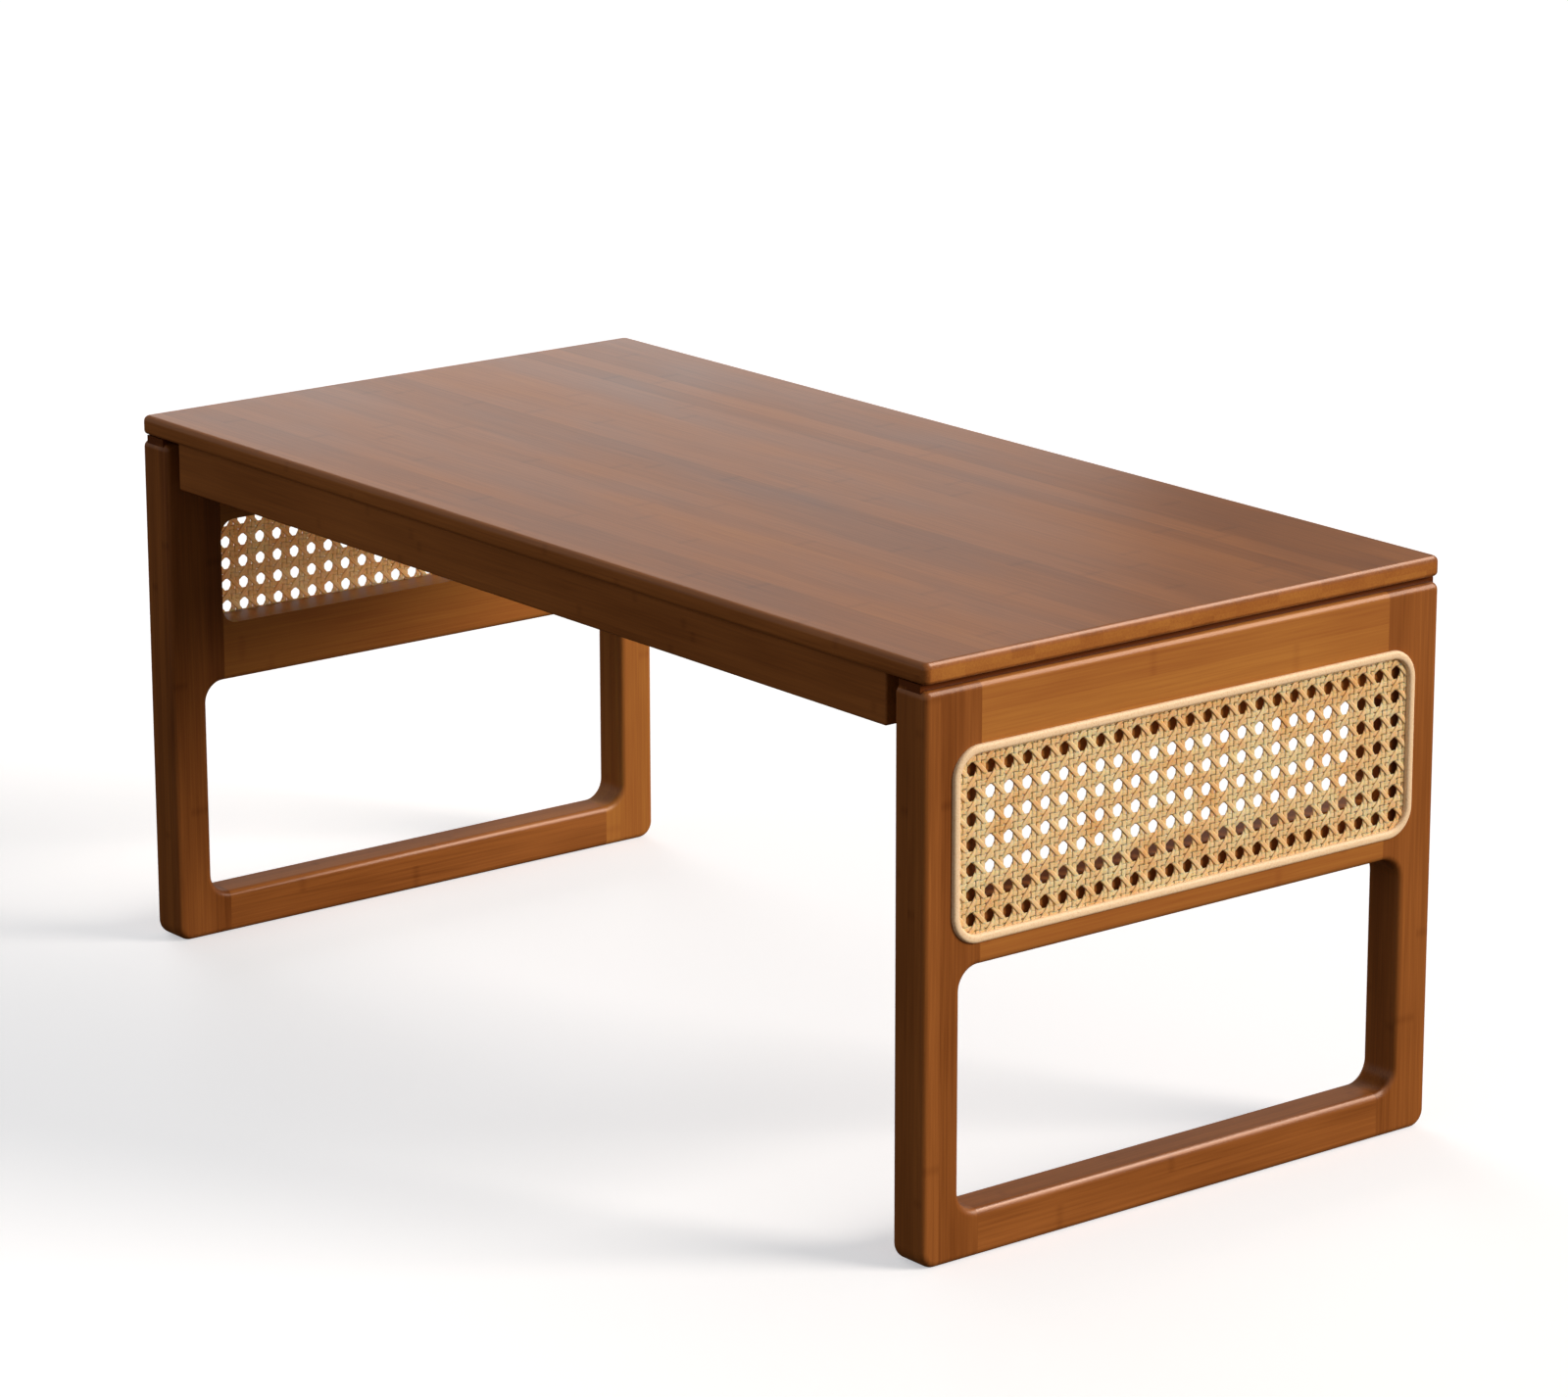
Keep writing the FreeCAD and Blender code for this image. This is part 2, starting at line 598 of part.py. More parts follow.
def stops_and_catches():
    """The block on an end rail that the upright leg meets, its bar magnet, and the leg's strike plate."""
    half_length = "size.stop_length / 2"
    stop = block(
        "stop_blank",
        (RAIL_OUT, f"({LEG_IN} - size.stop_gap)"),
        (f"-{half_length}", half_length),
        (f"{STOP_TOP} - size.stop_height", STOP_TOP),
    )
    half_magnet = "size.magnet_length / 2"
    magnet = block(
        "magnet",
        (f"{MAGNET_FACE} - size.magnet_depth", MAGNET_FACE),
        (f"-{half_magnet}", half_magnet),
        (f"{STOP_MIDDLE} - size.magnet_height / 2", f"({STOP_MIDDLE} + size.magnet_height / 2)"),
    )
    strike = block(
        "strike",
        (LEG_IN, f"({LEG_IN} + size.strike_thickness)"),
        (f"-{STRIKE_Y}", STRIKE_Y),
        (f"{STOP_MIDDLE} - {STRIKE_Z}", f"({STOP_MIDDLE} + {STRIKE_Z})"),
    )
    holder = cut("stop_block", stop, magnet)
    return (
        both_ends(holder, "stop_block")
        + both_ends(magnet, "catch_magnet")
        + both_ends(strike, "strike_plate")
    )


def check(pieces):
    """Stop if any feature failed or any piece isn't a sound solid."""
    doc.recompute()
    for item in doc.Objects:
        if "Invalid" in item.State or "Error" in item.State:
            raise RuntimeError(f"{item.Label} failed: {item.State}")
    for piece in pieces:
        if piece.Shape.isNull() or not piece.Shape.isValid() or not piece.Shape.Solids:
            raise RuntimeError(f"{piece.Label} isn't a sound solid")


def main():
    """Build every piece, check them, and write one file each."""
    pieces = table_top() + aprons() + end_rails() + corner_blocks()
    pieces += leg_frame() + cane_panels() + cane_beads() + hinges() + stops_and_catches()
    check(pieces)
    os.makedirs("parts", exist_ok=True)
    for piece in pieces:
        piece.Shape.exportStep(f"parts/{piece.Label}.step")
        print(piece.Label, len(piece.Shape.Solids), "solid", round(piece.Shape.Volume / 1000, 2), "cm3")


main()
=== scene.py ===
"""The looks of a low bamboo tea table with two folding leg frames panelled in cane.

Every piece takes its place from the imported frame. The scene is in metres, and sizes here are millimetres
times MM. The table's length runs along X, its front faces -Y, and the floor is at z = 0.
"""

import json
import math
from contextlib import contextmanager

import bmesh
import bpy
from bpy.props import FloatProperty, FloatVectorProperty, IntProperty, PointerProperty
from mathutils import Euler, Matrix, Vector

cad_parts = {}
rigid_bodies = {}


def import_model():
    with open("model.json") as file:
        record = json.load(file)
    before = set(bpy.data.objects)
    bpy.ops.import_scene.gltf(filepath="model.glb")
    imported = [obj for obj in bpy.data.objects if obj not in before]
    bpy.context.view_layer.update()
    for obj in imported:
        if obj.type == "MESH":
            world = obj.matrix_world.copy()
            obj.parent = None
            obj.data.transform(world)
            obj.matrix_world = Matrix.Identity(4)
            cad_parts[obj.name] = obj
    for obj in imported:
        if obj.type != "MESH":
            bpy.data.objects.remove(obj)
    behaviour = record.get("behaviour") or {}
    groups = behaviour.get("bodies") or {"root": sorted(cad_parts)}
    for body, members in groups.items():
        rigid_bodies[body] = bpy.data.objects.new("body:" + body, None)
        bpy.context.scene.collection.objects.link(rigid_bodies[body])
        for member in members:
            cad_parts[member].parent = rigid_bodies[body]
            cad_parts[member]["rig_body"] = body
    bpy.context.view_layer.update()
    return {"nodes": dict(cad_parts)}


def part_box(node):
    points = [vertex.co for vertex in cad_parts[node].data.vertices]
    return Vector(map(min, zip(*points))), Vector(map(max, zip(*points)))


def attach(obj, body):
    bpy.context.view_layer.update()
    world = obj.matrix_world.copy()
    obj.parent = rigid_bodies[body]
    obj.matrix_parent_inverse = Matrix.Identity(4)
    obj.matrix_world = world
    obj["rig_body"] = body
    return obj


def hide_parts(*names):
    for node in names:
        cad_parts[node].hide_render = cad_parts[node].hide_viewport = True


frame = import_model()

bl_info = {
    "name": "Folding bamboo tea table",
    "version": (1, 0, 0),
    "blender": (4, 5, 0),
    "location": "3D View > Sidebar > Tea table",
    "description": "Models and finishes the boards, leg frames, cane panels and fittings of a tea table",
    "category": "Object",
}

MM = 0.001
NEAR = 0.02 * MM
X, Y, Z = range(3)
HALF_TURN = (0, 0, math.pi)
BOARD_CREASE = math.radians(40)
SCREW_CREASE = math.radians(35)
FLOOR_SIZE = 60
SUN_DISTANCE = 4
SENSOR_WIDTH = 36

SIDES = ("right", "left")
CORNERS = [f"{depth}_{side}" for depth in ("front", "rear") for side in SIDES]
ACROSS = {"front": "rear", "rear": "front", "right": "left", "left": "right"}

# How much lighter or darker the stain is on the boards. The ends of the top are painted lighter, a painted
# sheen, and the tongue and shoulder in the gap under the top are painted dark, a painted shade. The front
# left stile is painted darker and the rear left stile lighter than their twins on the right, as painted
# shade and painted light.
# A board of a leg frame takes the first tone whose words are in its node's name.
TONE_AND_PAINTED_LIGHT_ATTRIBUTE = "board_tone"
TOP_TONE = -0.16
APRON_TONE = -0.15
LEG_TONES_AND_PAINTED_SHADE = {"top_rail": 0.13, "middle_rail": 0.02, "bottom_rail": -0.12, "rear_left": 0.05,
             "front_left": -0.27, "stile": -0.18}
PAINTED_END_SHEEN = 0.2
PAINTED_GAP_SHADE = -0.7


# Values that a user may change

def linear(code):
    """An sRGB hex colour as linear RGBA."""
    channels = [int(code[start:start + 2], 16) / 255 for start in (1, 3, 5)]
    return [c / 12.92 if c <= 0.04045 else ((c + 0.055) / 1.055) ** 2.4 for c in channels] + [1.0]


def length(name, millimetres, note):
    """A length, with its default in millimetres."""
    return FloatProperty(name=name, description=note, default=millimetres * MM, min=0, unit="LENGTH")


def angle(name, degrees, note):
    """An angle, with its default in degrees."""
    return FloatProperty(name=name, description=note, default=math.radians(degrees), unit="ROTATION")


def strength(name, amount, note):
    """The strength of a far light or of the sky."""
    return FloatProperty(name=name, description=note, default=amount, min=0)


def power(name, watts, note):
    """The power of a card or a lamp."""
    return FloatProperty(name=name, description=note, default=watts, min=0, unit="POWER")


def point(name, metres, note):
    """A place, in metres."""
    return FloatVectorProperty(name=name, description=note, default=metres, subtype="XYZ", unit="LENGTH")


def direction(name, way, note):
    """The way to a far light."""
    return FloatVectorProperty(name=name, description=note, default=way, subtype="DIRECTION")


def colour(name, code, note):
    """A colour, with its default as an sRGB hex code."""
    return FloatVectorProperty(name=name, description=note, default=linear(code), size=4, min=0, max=1,
                               subtype="COLOR")


class BoardSizes(bpy.types.PropertyGroup):
    """Shapes that the boards have within their boxes."""

    top_corner: length("Top corner", 5.5, "Corner radius of the top, seen from above")
    top_edge: length("Top edge", 4.4, "Round-over along the upper edges of the top")
    top_underedge: length("Top lower edge", 3, "Round-over along the lower edges of the top")
    rail_edge: length("Apron edge", 1.8, "Round-over along the aprons and end rails")
    block_edge: length("Block edge", 1.0, "Round-over of the corner blocks")
    leg_edge: length("Leg edge", 5, "Round-over of the leg frames and of their openings")
    leg_corner: length("Leg corner", 5.6, "Upper corners of a leg frame, seen from the end")
    tongue_height: length("Tongue height", 3.7, "Tongue that bears the top, over a leg frame's shoulder")
    tongue_reveal: length("Tongue reveal", 6, "Tongue behind the face of a leg frame")
    tongue_setback: length("Tongue setback", 4, "Tongue before the back of a leg frame")
    tongue_end: length("Tongue end", 1.2, "Tongue from the ends of a leg frame")
    foot_radius: length("Foot radius", 12, "Lower corners of a leg frame, seen from the end")
    stile_waist: length("Stile waist", 31, "Width of a stile beside the opening")
    opening_radius: length("Opening radius", 15.3, "Corners of the opening in a leg frame")
    middle_rail: length("Middle rail", 43.5, "Height of the rail under the cane")
    top_rail: length("Top rail", 63.5, "Height of the rail over the cane")
    window_radius: length("Window radius", 12, "Corners of the window behind the cane")


class CaneSizes(bpy.types.PropertyGroup):
    """The webbing of the cane panels and the bead round it."""

    columns: IntProperty(name="Columns", description="Crossings along the panel", default=26, min=2)
    rows: IntProperty(name="Rows", description="Crossings up the panel", default=8, min=2)
    column_pitch: length("Column pitch", 15.3, "Hole to hole along the panel")
    row_pitch: length("Row pitch", 16.4, "Hole to hole up the panel")
    strand_width: length("Strand width", 3.9, "Width of the upright and level strands")
    slant_width: length("Slant width", 3.6, "Width of the slanting strands")
    strand_thickness: length("Strand thickness", 0.53, "Thickness of one strand")
    pair_spacing: length("Pair spacing", 4, "Middle to middle of two strands that run side by side")
    corner_radius: length("Panel corner", 21, "Corners of the panel, and of the bead round it")
    rebate_spare: length("Rebate spare", 0.1, "Glue line round the panel in its rebate")
    relief_depth: length("Relief depth", 4.2, "Recess behind the webbing, from the face of the frame")
    bead_width: length("Bead width", 6, "Reed bead over the edge of the cane")
    bead_round: length("Bead round", 2.4, "Round-over that gives the bead its crown")
    bead_seat: length("Bead seat", 0.5, "How far the bead presses into the webbing")


class FittingSizes(bpy.types.PropertyGroup):
    """Screws of the hinges and of the corner blocks."""

    head_radius: length("Head radius", 3.6, "Screw head")
    head_height: length("Head height", 0.9, "Screw head over the face that it holds")
    recess_width: length("Recess width", 1.0, "Arms of the cross recess")
    recess_length: length("Recess length", 4.2, "Cross recess, end to end")
    recess_depth: length("Recess depth", 0.6, "Cross recess, below the top of the head")
    leaf_thickness: length("Leaf thickness", 2.5, "Plate of a hinge leaf")
    screw_rise: length("Screw rise", 14, "Hinge screws over the middle of the pin")
    screw_spacing: length("Screw spacing", 36, "From one hinge screw to the next")


class FinishColours(bpy.types.PropertyGroup):
    """Colours of the finishes."""

    stain_dark: colour("Stain, dark", "#5e2c0b", "Stain where the fibres take up most")
    stain_middle: colour("Stain, middle", "#a3632f", "Stain over most of the board")
    stain_light: colour("Stain, light", "#c5873f", "Stain on the hard, pale fibres")
    cane_shade: colour("Cane, shade", "#e8b474", "Strands with the skin worn or shaded")
    cane_light: colour("Cane, light", "#ffdeaf", "Glossy skin of the cane")
    reed_shade: colour("Reed, shade", "#ecc698", "Pores of the reed bead")
    reed_light: colour("Reed, light", "#fbdfba", "Reed bead")
    zinc: colour("Zinc", "#b9b29f", "Zinc-plated steel of the hinges and screws")
    nickel: colour("Nickel", "#c9c6bf", "Nickel plate of the magnets")
    floor: colour("Floor", "#eef0f4", "Seamless paper under the table")


class StageSettings(bpy.types.PropertyGroup):
    """Camera and light."""

    camera_place: point("Camera place", (3.0885, -2.4237, 1.3335), "Where the camera stands")
    camera_turn: angle("Camera turn", 51.614, "Camera's heading, counted from looking along +Y")
    camera_drop: angle("Camera drop", 15.530, "How far the camera looks down")
    camera_roll: angle("Camera roll", -0.089, "Camera's turn about its own axis")
    lens: FloatProperty(name="Lens", description="Focal length on a 36 mm sensor", default=132.56, min=1,
                        unit="CAMERA")

    key_from: direction("Key light from", (0.71, 0.60, 0.37), "Direction to the key light")
    key_tint: colour("Key tint", "#fff3e6", "Colour of the key light")
    key_spread: angle("Key spread", 28, "Apparent width of the key light")
    key_strength: strength("Key strength", 3.3, "Irradiance of the key light")
    rim_from: direction("Rim light from", (-0.96, 0.27, 0.06), "Direction to the light behind the table")
    rim_spread: angle("Rim spread", 40, "Apparent width of the rim light")
    rim_strength: strength("Rim strength", 3.2, "Irradiance of the rim light")
    fill_from: direction("Fill light from", (-0.10, -0.97, 0.20), "Direction to the light in front")
    fill_spread: angle("Fill spread", 60, "Apparent width of the fill light")
    fill_strength: strength("Fill strength", 0.3, "Irradiance of the fill light")
    sky_strength: strength("Sky strength", 0.27, "Light from all round")
    sky_tint: colour("Sky tint", "#fff8ee", "Colour of the light from above")
    ground_tint: colour("Ground tint", "#69553f", "Colour of the light from below")
    backdrop: colour("Backdrop", "#ffffff", "Paper behind the table, over the far edge of the floor")

    sheen_place: point("Sheen card", (-2.12, 1.35, 0.55), "Middle of the card that the top mirrors")
    sheen_width: length("Sheen card width", 1350, "Card that the top mirrors")
    sheen_height: length("Sheen card height", 760, "Card that the top mirrors")
    sheen_power: power("Sheen card power", 4.6, "Mirrored in the top")
    top_edge_place: point("Top edge card", (0.62, 0.90, 1.55), "Middle of the card in the top's edges")
    top_edge_width: length("Top edge card width", 1200, "Card in the edges of the top and bottom rails")
    top_edge_height: length("Top edge card height", 900, "Card in the edges of the top and bottom rails")
    top_edge_power: power("Top edge card power", 30, "Mirrored in the edges of the top and bottom rails")
    leg_edge_place: point("Leg edge card", (1.07, 0.99, 1.48), "Middle of the card in the legs' edges")
    leg_edge_width: length("Leg edge card width", 1300, "Card in the edges of the leg frames and beads")
    leg_edge_height: length("Leg edge card height", 1700, "Card in the edges of the leg frames and beads")
    leg_edge_power: power("Leg edge card power", 44, "Mirrored in the edges of the leg frames and beads")
    edge_tint: colour("Edge card tint", "#ffe6d2", "Colour of the two cards that edges mirror")
    lamp_place: point("Cane lamp", (0, 0, 0.25), "Lamp under the table that lights only the cane")
    lamp_radius: length("Cane lamp radius", 90, "Size of the lamp under the table")
    lamp_tint: colour("Cane lamp tint", "#ffd8b6", "Colour of the lamp under the table")
    lamp_power: power("Cane lamp power", 2.1, "Light on the backs of the cane panels")


# Modelling by hand: selecting, shaping and copying

def deselect():
    """Leave edit mode and deselect every object."""
    if bpy.context.object and bpy.context.object.mode != "OBJECT":
        bpy.ops.object.mode_set(mode="OBJECT")
    bpy.ops.object.select_all(action="DESELECT")


def select(*pieces):
    """Select only these pieces, the first of them active."""
    deselect()
    for piece in pieces:
        piece.select_set(True)
    bpy.context.view_layer.objects.active = pieces[0]


@contextmanager
def edit_mode(piece):
    """Open one piece in edit mode with all of it selected, and close it again."""
    select(piece)
    bpy.ops.object.mode_set(mode="EDIT")
    bpy.ops.mesh.select_all(action="SELECT")
    yield
    bpy.ops.object.mode_set(mode="OBJECT")


def pick(piece, kind, test):
    """In edit mode, select the VERT or EDGE elements that pass a test, and nothing else."""
    bpy.ops.mesh.select_mode(type=kind)
    bpy.ops.mesh.select_all(action="DESELECT")
    mesh = bmesh.from_edit_mesh(piece.data)
    elements = {"VERT": mesh.verts, "EDGE": mesh.edges}[kind]
    chosen = [element for element in elements if test(element)]
    if not chosen:
        raise RuntimeError(f"{piece.name} has nothing to select")
    for element in chosen:
        element.select_set(True)
    bmesh.update_edit_mesh(piece.data)


def lies_at(element, axis, place):
    """Whether every vertex of an edge or face has this coordinate."""
    return all(abs(vertex.co[axis] - place) < NEAR for vertex in element.verts)


def runs_along(edge, axis):
    """Whether an edge is parallel to an axis."""
    straight = 0.999
    run = edge.verts[1].co - edge.verts[0].co
    return abs(run[axis]) > straight * run.length


def placed(name, size=(1, 1, 1)):
    """Name the active piece, scale it, and put its place, turn and size in its mesh."""
    piece = bpy.context.object
    piece.name = piece.data.name = name
    piece.scale = size
    bpy.ops.object.transform_apply(location=True, rotation=True, scale=True)
    return piece


def joined(name, pieces):
    """Several pieces as one."""
    select(*pieces)
    bpy.ops.object.join()
    return placed(name)


def discard(*pieces):
    """Delete pieces that were only there to shape others."""
    select(*pieces)
    bpy.ops.object.delete()


def face_outwards(piece):
    """Make the faces of a piece point outwards."""
    with edit_mode(piece):
        bpy.ops.mesh.normals_make_consistent(inside=False)


def copy_of(piece, name, turn=(0, 0, 0), mirror=(1, 1, 1), place=(0, 0, 0)):
    """A copy of a piece with its own mesh, mirrored, then turned, then moved."""
    select(piece)
    bpy.ops.object.duplicate(linked=False)
    copy = bpy.context.object
    copy.rotation_euler = turn
    copy.location = place
    placed(name, mirror)
    face_outwards(copy)
    return copy


def across(name):
    """The name of the piece or node that a half turn of the table puts in this one's place."""
    return "_".join(ACROSS.get(word, word) for word in name.split("_"))


def with_twin(piece, node):
    """A piece and its copy on the other side of the table, each with the node that it stands for."""
    twin = copy_of(piece, across(piece.name), turn=HALF_TURN)
    return (piece, node), (twin, across(node))


def add_block(name, low, high):
    """A square block between two corners."""
    deselect()
    bpy.ops.mesh.primitive_cube_add(size=1, location=(low + high) / 2)
    return placed(name, high - low)


def round_edges(piece, radius, test, segments=5):
    """Round over the edges that pass a test."""
    with edit_mode(piece):
        pick(piece, "EDGE", test)
        bpy.ops.mesh.bevel(offset=radius, offset_type="OFFSET", segments=segments, profile=0.5,
                           affect="EDGES", clamp_overlap=False)


def rounded_block(name, low, high, radius):
    """A block whose four edges along X are rounded, to cut openings with."""
    block = add_block(name, low, high)
    round_edges(block, radius, lambda edge: runs_along(edge, X), segments=12)
    return block


def apply_modifier(piece, kind, **settings):
    """Add one modifier to a piece with these settings and apply it."""
    select(piece)
    modifier = piece.modifiers.new(kind.lower(), kind)
    for name, value in settings.items():
        setattr(modifier, name, value)
    bpy.ops.object.modifier_apply(modifier=modifier.name)


def cut_away(piece, *cutters):
    """Take the cutters' shapes out of a piece."""
    for cutter in cutters:
        apply_modifier(piece, "BOOLEAN", operation="DIFFERENCE", solver="EXACT", object=cutter)


def trim(piece, place, outwards):
    """Cut a piece off at a plane through a place and close the cut."""
    with edit_mode(piece):
        bpy.ops.mesh.bisect(plane_co=place, plane_no=outwards, use_fill=True, clear_outer=True)


# Materials

def add_node(tree, kind, inputs=None, stops=(), **settings):
    """Add one shader node with its settings and links and, on a colour ramp, its stops from low to high.

    An input is a value, an output that is linked to it, or a node whose first output is.
    """
    node = tree.nodes.new(f"ShaderNode{kind}")
    for name, value in settings.items():
        setattr(node, name, value)
    for name, value in (inputs or {}).items():
        if isinstance(value, bpy.types.Node):
            value = value.outputs[0]
        if isinstance(value, bpy.types.NodeSocket):
            tree.links.new(value, node.inputs[name])
        else:
            node.inputs[name].default_value = value
    for position, _tint in stops[1:-1]:
        node.color_ramp.elements.new(position)
    for index, (position, tint) in enumerate(stops):
        node.color_ramp.elements[index].position = position
        node.color_ramp.elements[index].color = tint
    return node


def emptied(owner):
    """A new material or world, without nodes, and its node tree."""
    owner.use_nodes = True
    owner.node_tree.nodes.clear()
    return owner, owner.node_tree


def stained_bamboo(name, along, across_grain, depth):
    """Laminated bamboo board, sanded, wiped with a red-brown stain and sprayed with satin lacquer.

    It gives narrow strips that differ a little in tone, straight fibres, faint knuckles of the bamboo and
    soft clouds of stain under a smooth film that mirrors light softly.
    """
    colours = bpy.context.scene.tea_table_colours
    strip_width, strip_depth = 19 * MM, 7 * MM
    # Real fibres are well under a millimetre wide and would not show, so they are drawn coarser
    fibre_width, fibre_length = 1.4 * MM, 70 * MM
    cloud_width, cloud_length = 60 * MM, 190 * MM
    knuckle_pitch, knuckle_width = 310 * MM, 5 * MM
    least_tone, fibre_share, cloud_share, strip_share, knuckle_share = 0.08, 0.38, 0.42, 0.14, -0.08
    stops = [(0.05, colours.stain_dark), (0.52, colours.stain_middle), (0.98, colours.stain_light)]
    cloud_low, cloud_high = 0.3, 0.7
    # A film smoother than about 0.28 gets marks like cracks when a render is denoised
    film_smooth, film_rough = 0.295, 0.345
    material, tree = emptied(bpy.data.materials.new(name))
    place = add_node(tree, "TexCoord").outputs["Object"]
    split = add_node(tree, "SeparateXYZ", {"Vector": place})
    run, side, layer = (split.outputs[axis] for axis in (along, across_grain, depth))

    column = add_node(tree, "Math", {0: side, 1: strip_width}, operation="DIVIDE")
    column = add_node(tree, "Math", {0: column}, operation="FLOOR")
    course = add_node(tree, "Math", {0: layer, 1: strip_depth}, operation="DIVIDE")
    course = add_node(tree, "Math", {0: course}, operation="FLOOR")
    strip = add_node(tree, "CombineXYZ", {"X": column, "Y": course})
    strip_tone = add_node(tree, "TexWhiteNoise", {"Vector": strip})

    shifted = add_node(tree, "Math", {0: strip_tone, 1: knuckle_pitch, 2: run}, operation="MULTIPLY_ADD")
    board = add_node(tree, "CombineXYZ", {"X": shifted, "Y": side, "Z": layer})
    fine = add_node(tree, "VectorMath", {0: board, 1: (1 / fibre_length, 1 / fibre_width, 1 / fibre_width)},
                    operation="MULTIPLY")
    fibre = add_node(tree, "TexNoise", {"Vector": fine, "Scale": 1, "Detail": 2})
    whole = add_node(tree, "CombineXYZ", {"X": run, "Y": side, "Z": layer})
    broad = add_node(tree, "VectorMath", {0: whole, 1: (1 / cloud_length, 1 / cloud_width, 1 / cloud_width)},
                     operation="MULTIPLY")
    cloud = add_node(tree, "TexNoise", {"Vector": broad, "Scale": 1, "Detail": 2})
    wave = add_node(tree, "Math", {0: shifted, 1: knuckle_pitch / 2}, operation="PINGPONG")
    knuckle = add_node(tree, "MapRange", {
        "Value": wave, "From Min": 0, "From Max": knuckle_width, "To Min": 1, "To Max": 0,
    }, interpolation_type="SMOOTHSTEP")

    # Each board's tone, with the painted sheen on the ends of the top and the painted shade in the gap under
    # it
    board_tone = add_node(tree, "Attribute", attribute_name=TONE_AND_PAINTED_LIGHT_ATTRIBUTE).outputs["Fac"]
    tone = add_node(tree, "Math", {0: fibre, 1: fibre_share, 2: least_tone}, operation="MULTIPLY_ADD")
    for part, share in ((cloud, cloud_share), (strip_tone, strip_share), (knuckle, knuckle_share),
                        (board_tone, 1)):
        tone = add_node(tree, "Math", {0: part, 1: share, 2: tone}, operation="MULTIPLY_ADD")
    stain = add_node(tree, "ValToRGB", {"Fac": tone}, stops)
    gloss = add_node(tree, "MapRange", {
        "Value": cloud, "From Min": cloud_low, "From Max": cloud_high,
        "To Min": film_smooth, "To Max": film_rough,
    }, clamp=False)
    grain = add_node(tree, "Bump", {"Height": fibre, "Strength": 0.02, "Distance": 0.08 * MM})
    surface = add_node(tree, "BsdfPrincipled", {
        "Base Color": stain, "Roughness": gloss, "Normal": grain, "IOR": 1.5})
    add_node(tree, "OutputMaterial", {"Surface": surface})
    return material


def bamboo(along):
    """The stained board with its fibres along one axis, made when it is first asked for."""
    name = f"stained_bamboo_along_{along.lower()}"
    across_grain, depth = {"X": ("Y", "Z"), "Y": ("Z", "X"), "Z": ("Y", "X")}[along]
    return bpy.data.materials.get(name) or stained_bamboo(name, along, across_grain, depth)


def natural_cane():
    """Split rattan skin, woven wet and left unfinished.

    It gives hard, shiny, straw-coloured strands with lengthwise veins and patches of browned skin.
    """
    colours = bpy.context.scene.tea_table_colours
    patch_size = 22 * MM
    # How often the veins change round a strand and along it, over the strand's own UV map
    vein_count, vein_breaks = 9, 2.5
    least_tone, vein_share, patch_share = -0.05, 0.4, 0.7
    stops = [(0.28, colours.cane_shade), (0.62, colours.cane_light)]
    material, tree = emptied(bpy.data.materials.new("natural_rattan_cane"))
    source = add_node(tree, "TexCoord")
    patch = add_node(tree, "TexNoise", {
        "Vector": source.outputs["Object"], "Scale": 1 / patch_size, "Detail": 2})
    stretch = add_node(tree, "VectorMath", {0: source.outputs["UV"], 1: (vein_count, vein_breaks, 1)},
                       operation="MULTIPLY")
    vein = add_node(tree, "TexNoise", {"Vector": stretch, "Scale": 1, "Detail": 2})
    tone = add_node(tree, "Math", {0: vein, 1: vein_share, 2: least_tone}, operation="MULTIPLY_ADD")
    tone = add_node(tree, "Math", {0: patch, 1: patch_share, 2: tone}, operation="MULTIPLY_ADD")
    skin = add_node(tree, "ValToRGB", {"Fac": tone}, stops)
    grain = add_node(tree, "Bump", {"Height": vein, "Strength": 0.1, "Distance": 0.1 * MM})
    surface = add_node(tree, "BsdfPrincipled", {
        "Base Color": skin, "Roughness": 0.38, "Normal": grain, "IOR": 1.5, "Subsurface Weight": 1.0,
        "Subsurface Radius": (1.0, 0.8, 0.5), "Subsurface Scale": 0.4 * MM})
    add_node(tree, "OutputMaterial", {"Surface": surface})
    return material


def peeled_reed():
    """Core of the rattan, drawn to a half-round rod and steamed to shape.

    It gives a pale, even, matt bead with fine pores.
    """
    colours = bpy.context.scene.tea_table_colours
    # Real pores are about a third as wide and would not show, so they are drawn coarser
    pore_size = 1.2 * MM
    stops = [(0.20, colours.reed_shade), (0.55, colours.reed_light)]
    material, tree = emptied(bpy.data.materials.new("peeled_rattan_reed"))
    place = add_node(tree, "TexCoord").outputs["Object"]
    pore = add_node(tree, "TexNoise", {"Vector": place, "Scale": 1 / pore_size, "Detail": 1})
    rod = add_node(tree, "ValToRGB", {"Fac": pore}, stops)
    grain = add_node(tree, "Bump", {"Height": pore, "Strength": 0.05, "Distance": 0.1 * MM})
    surface = add_node(tree, "BsdfPrincipled", {
        "Base Color": rod, "Roughness": 0.5, "Normal": grain, "IOR": 1.5})
    add_node(tree, "OutputMaterial", {"Surface": surface})
    return material


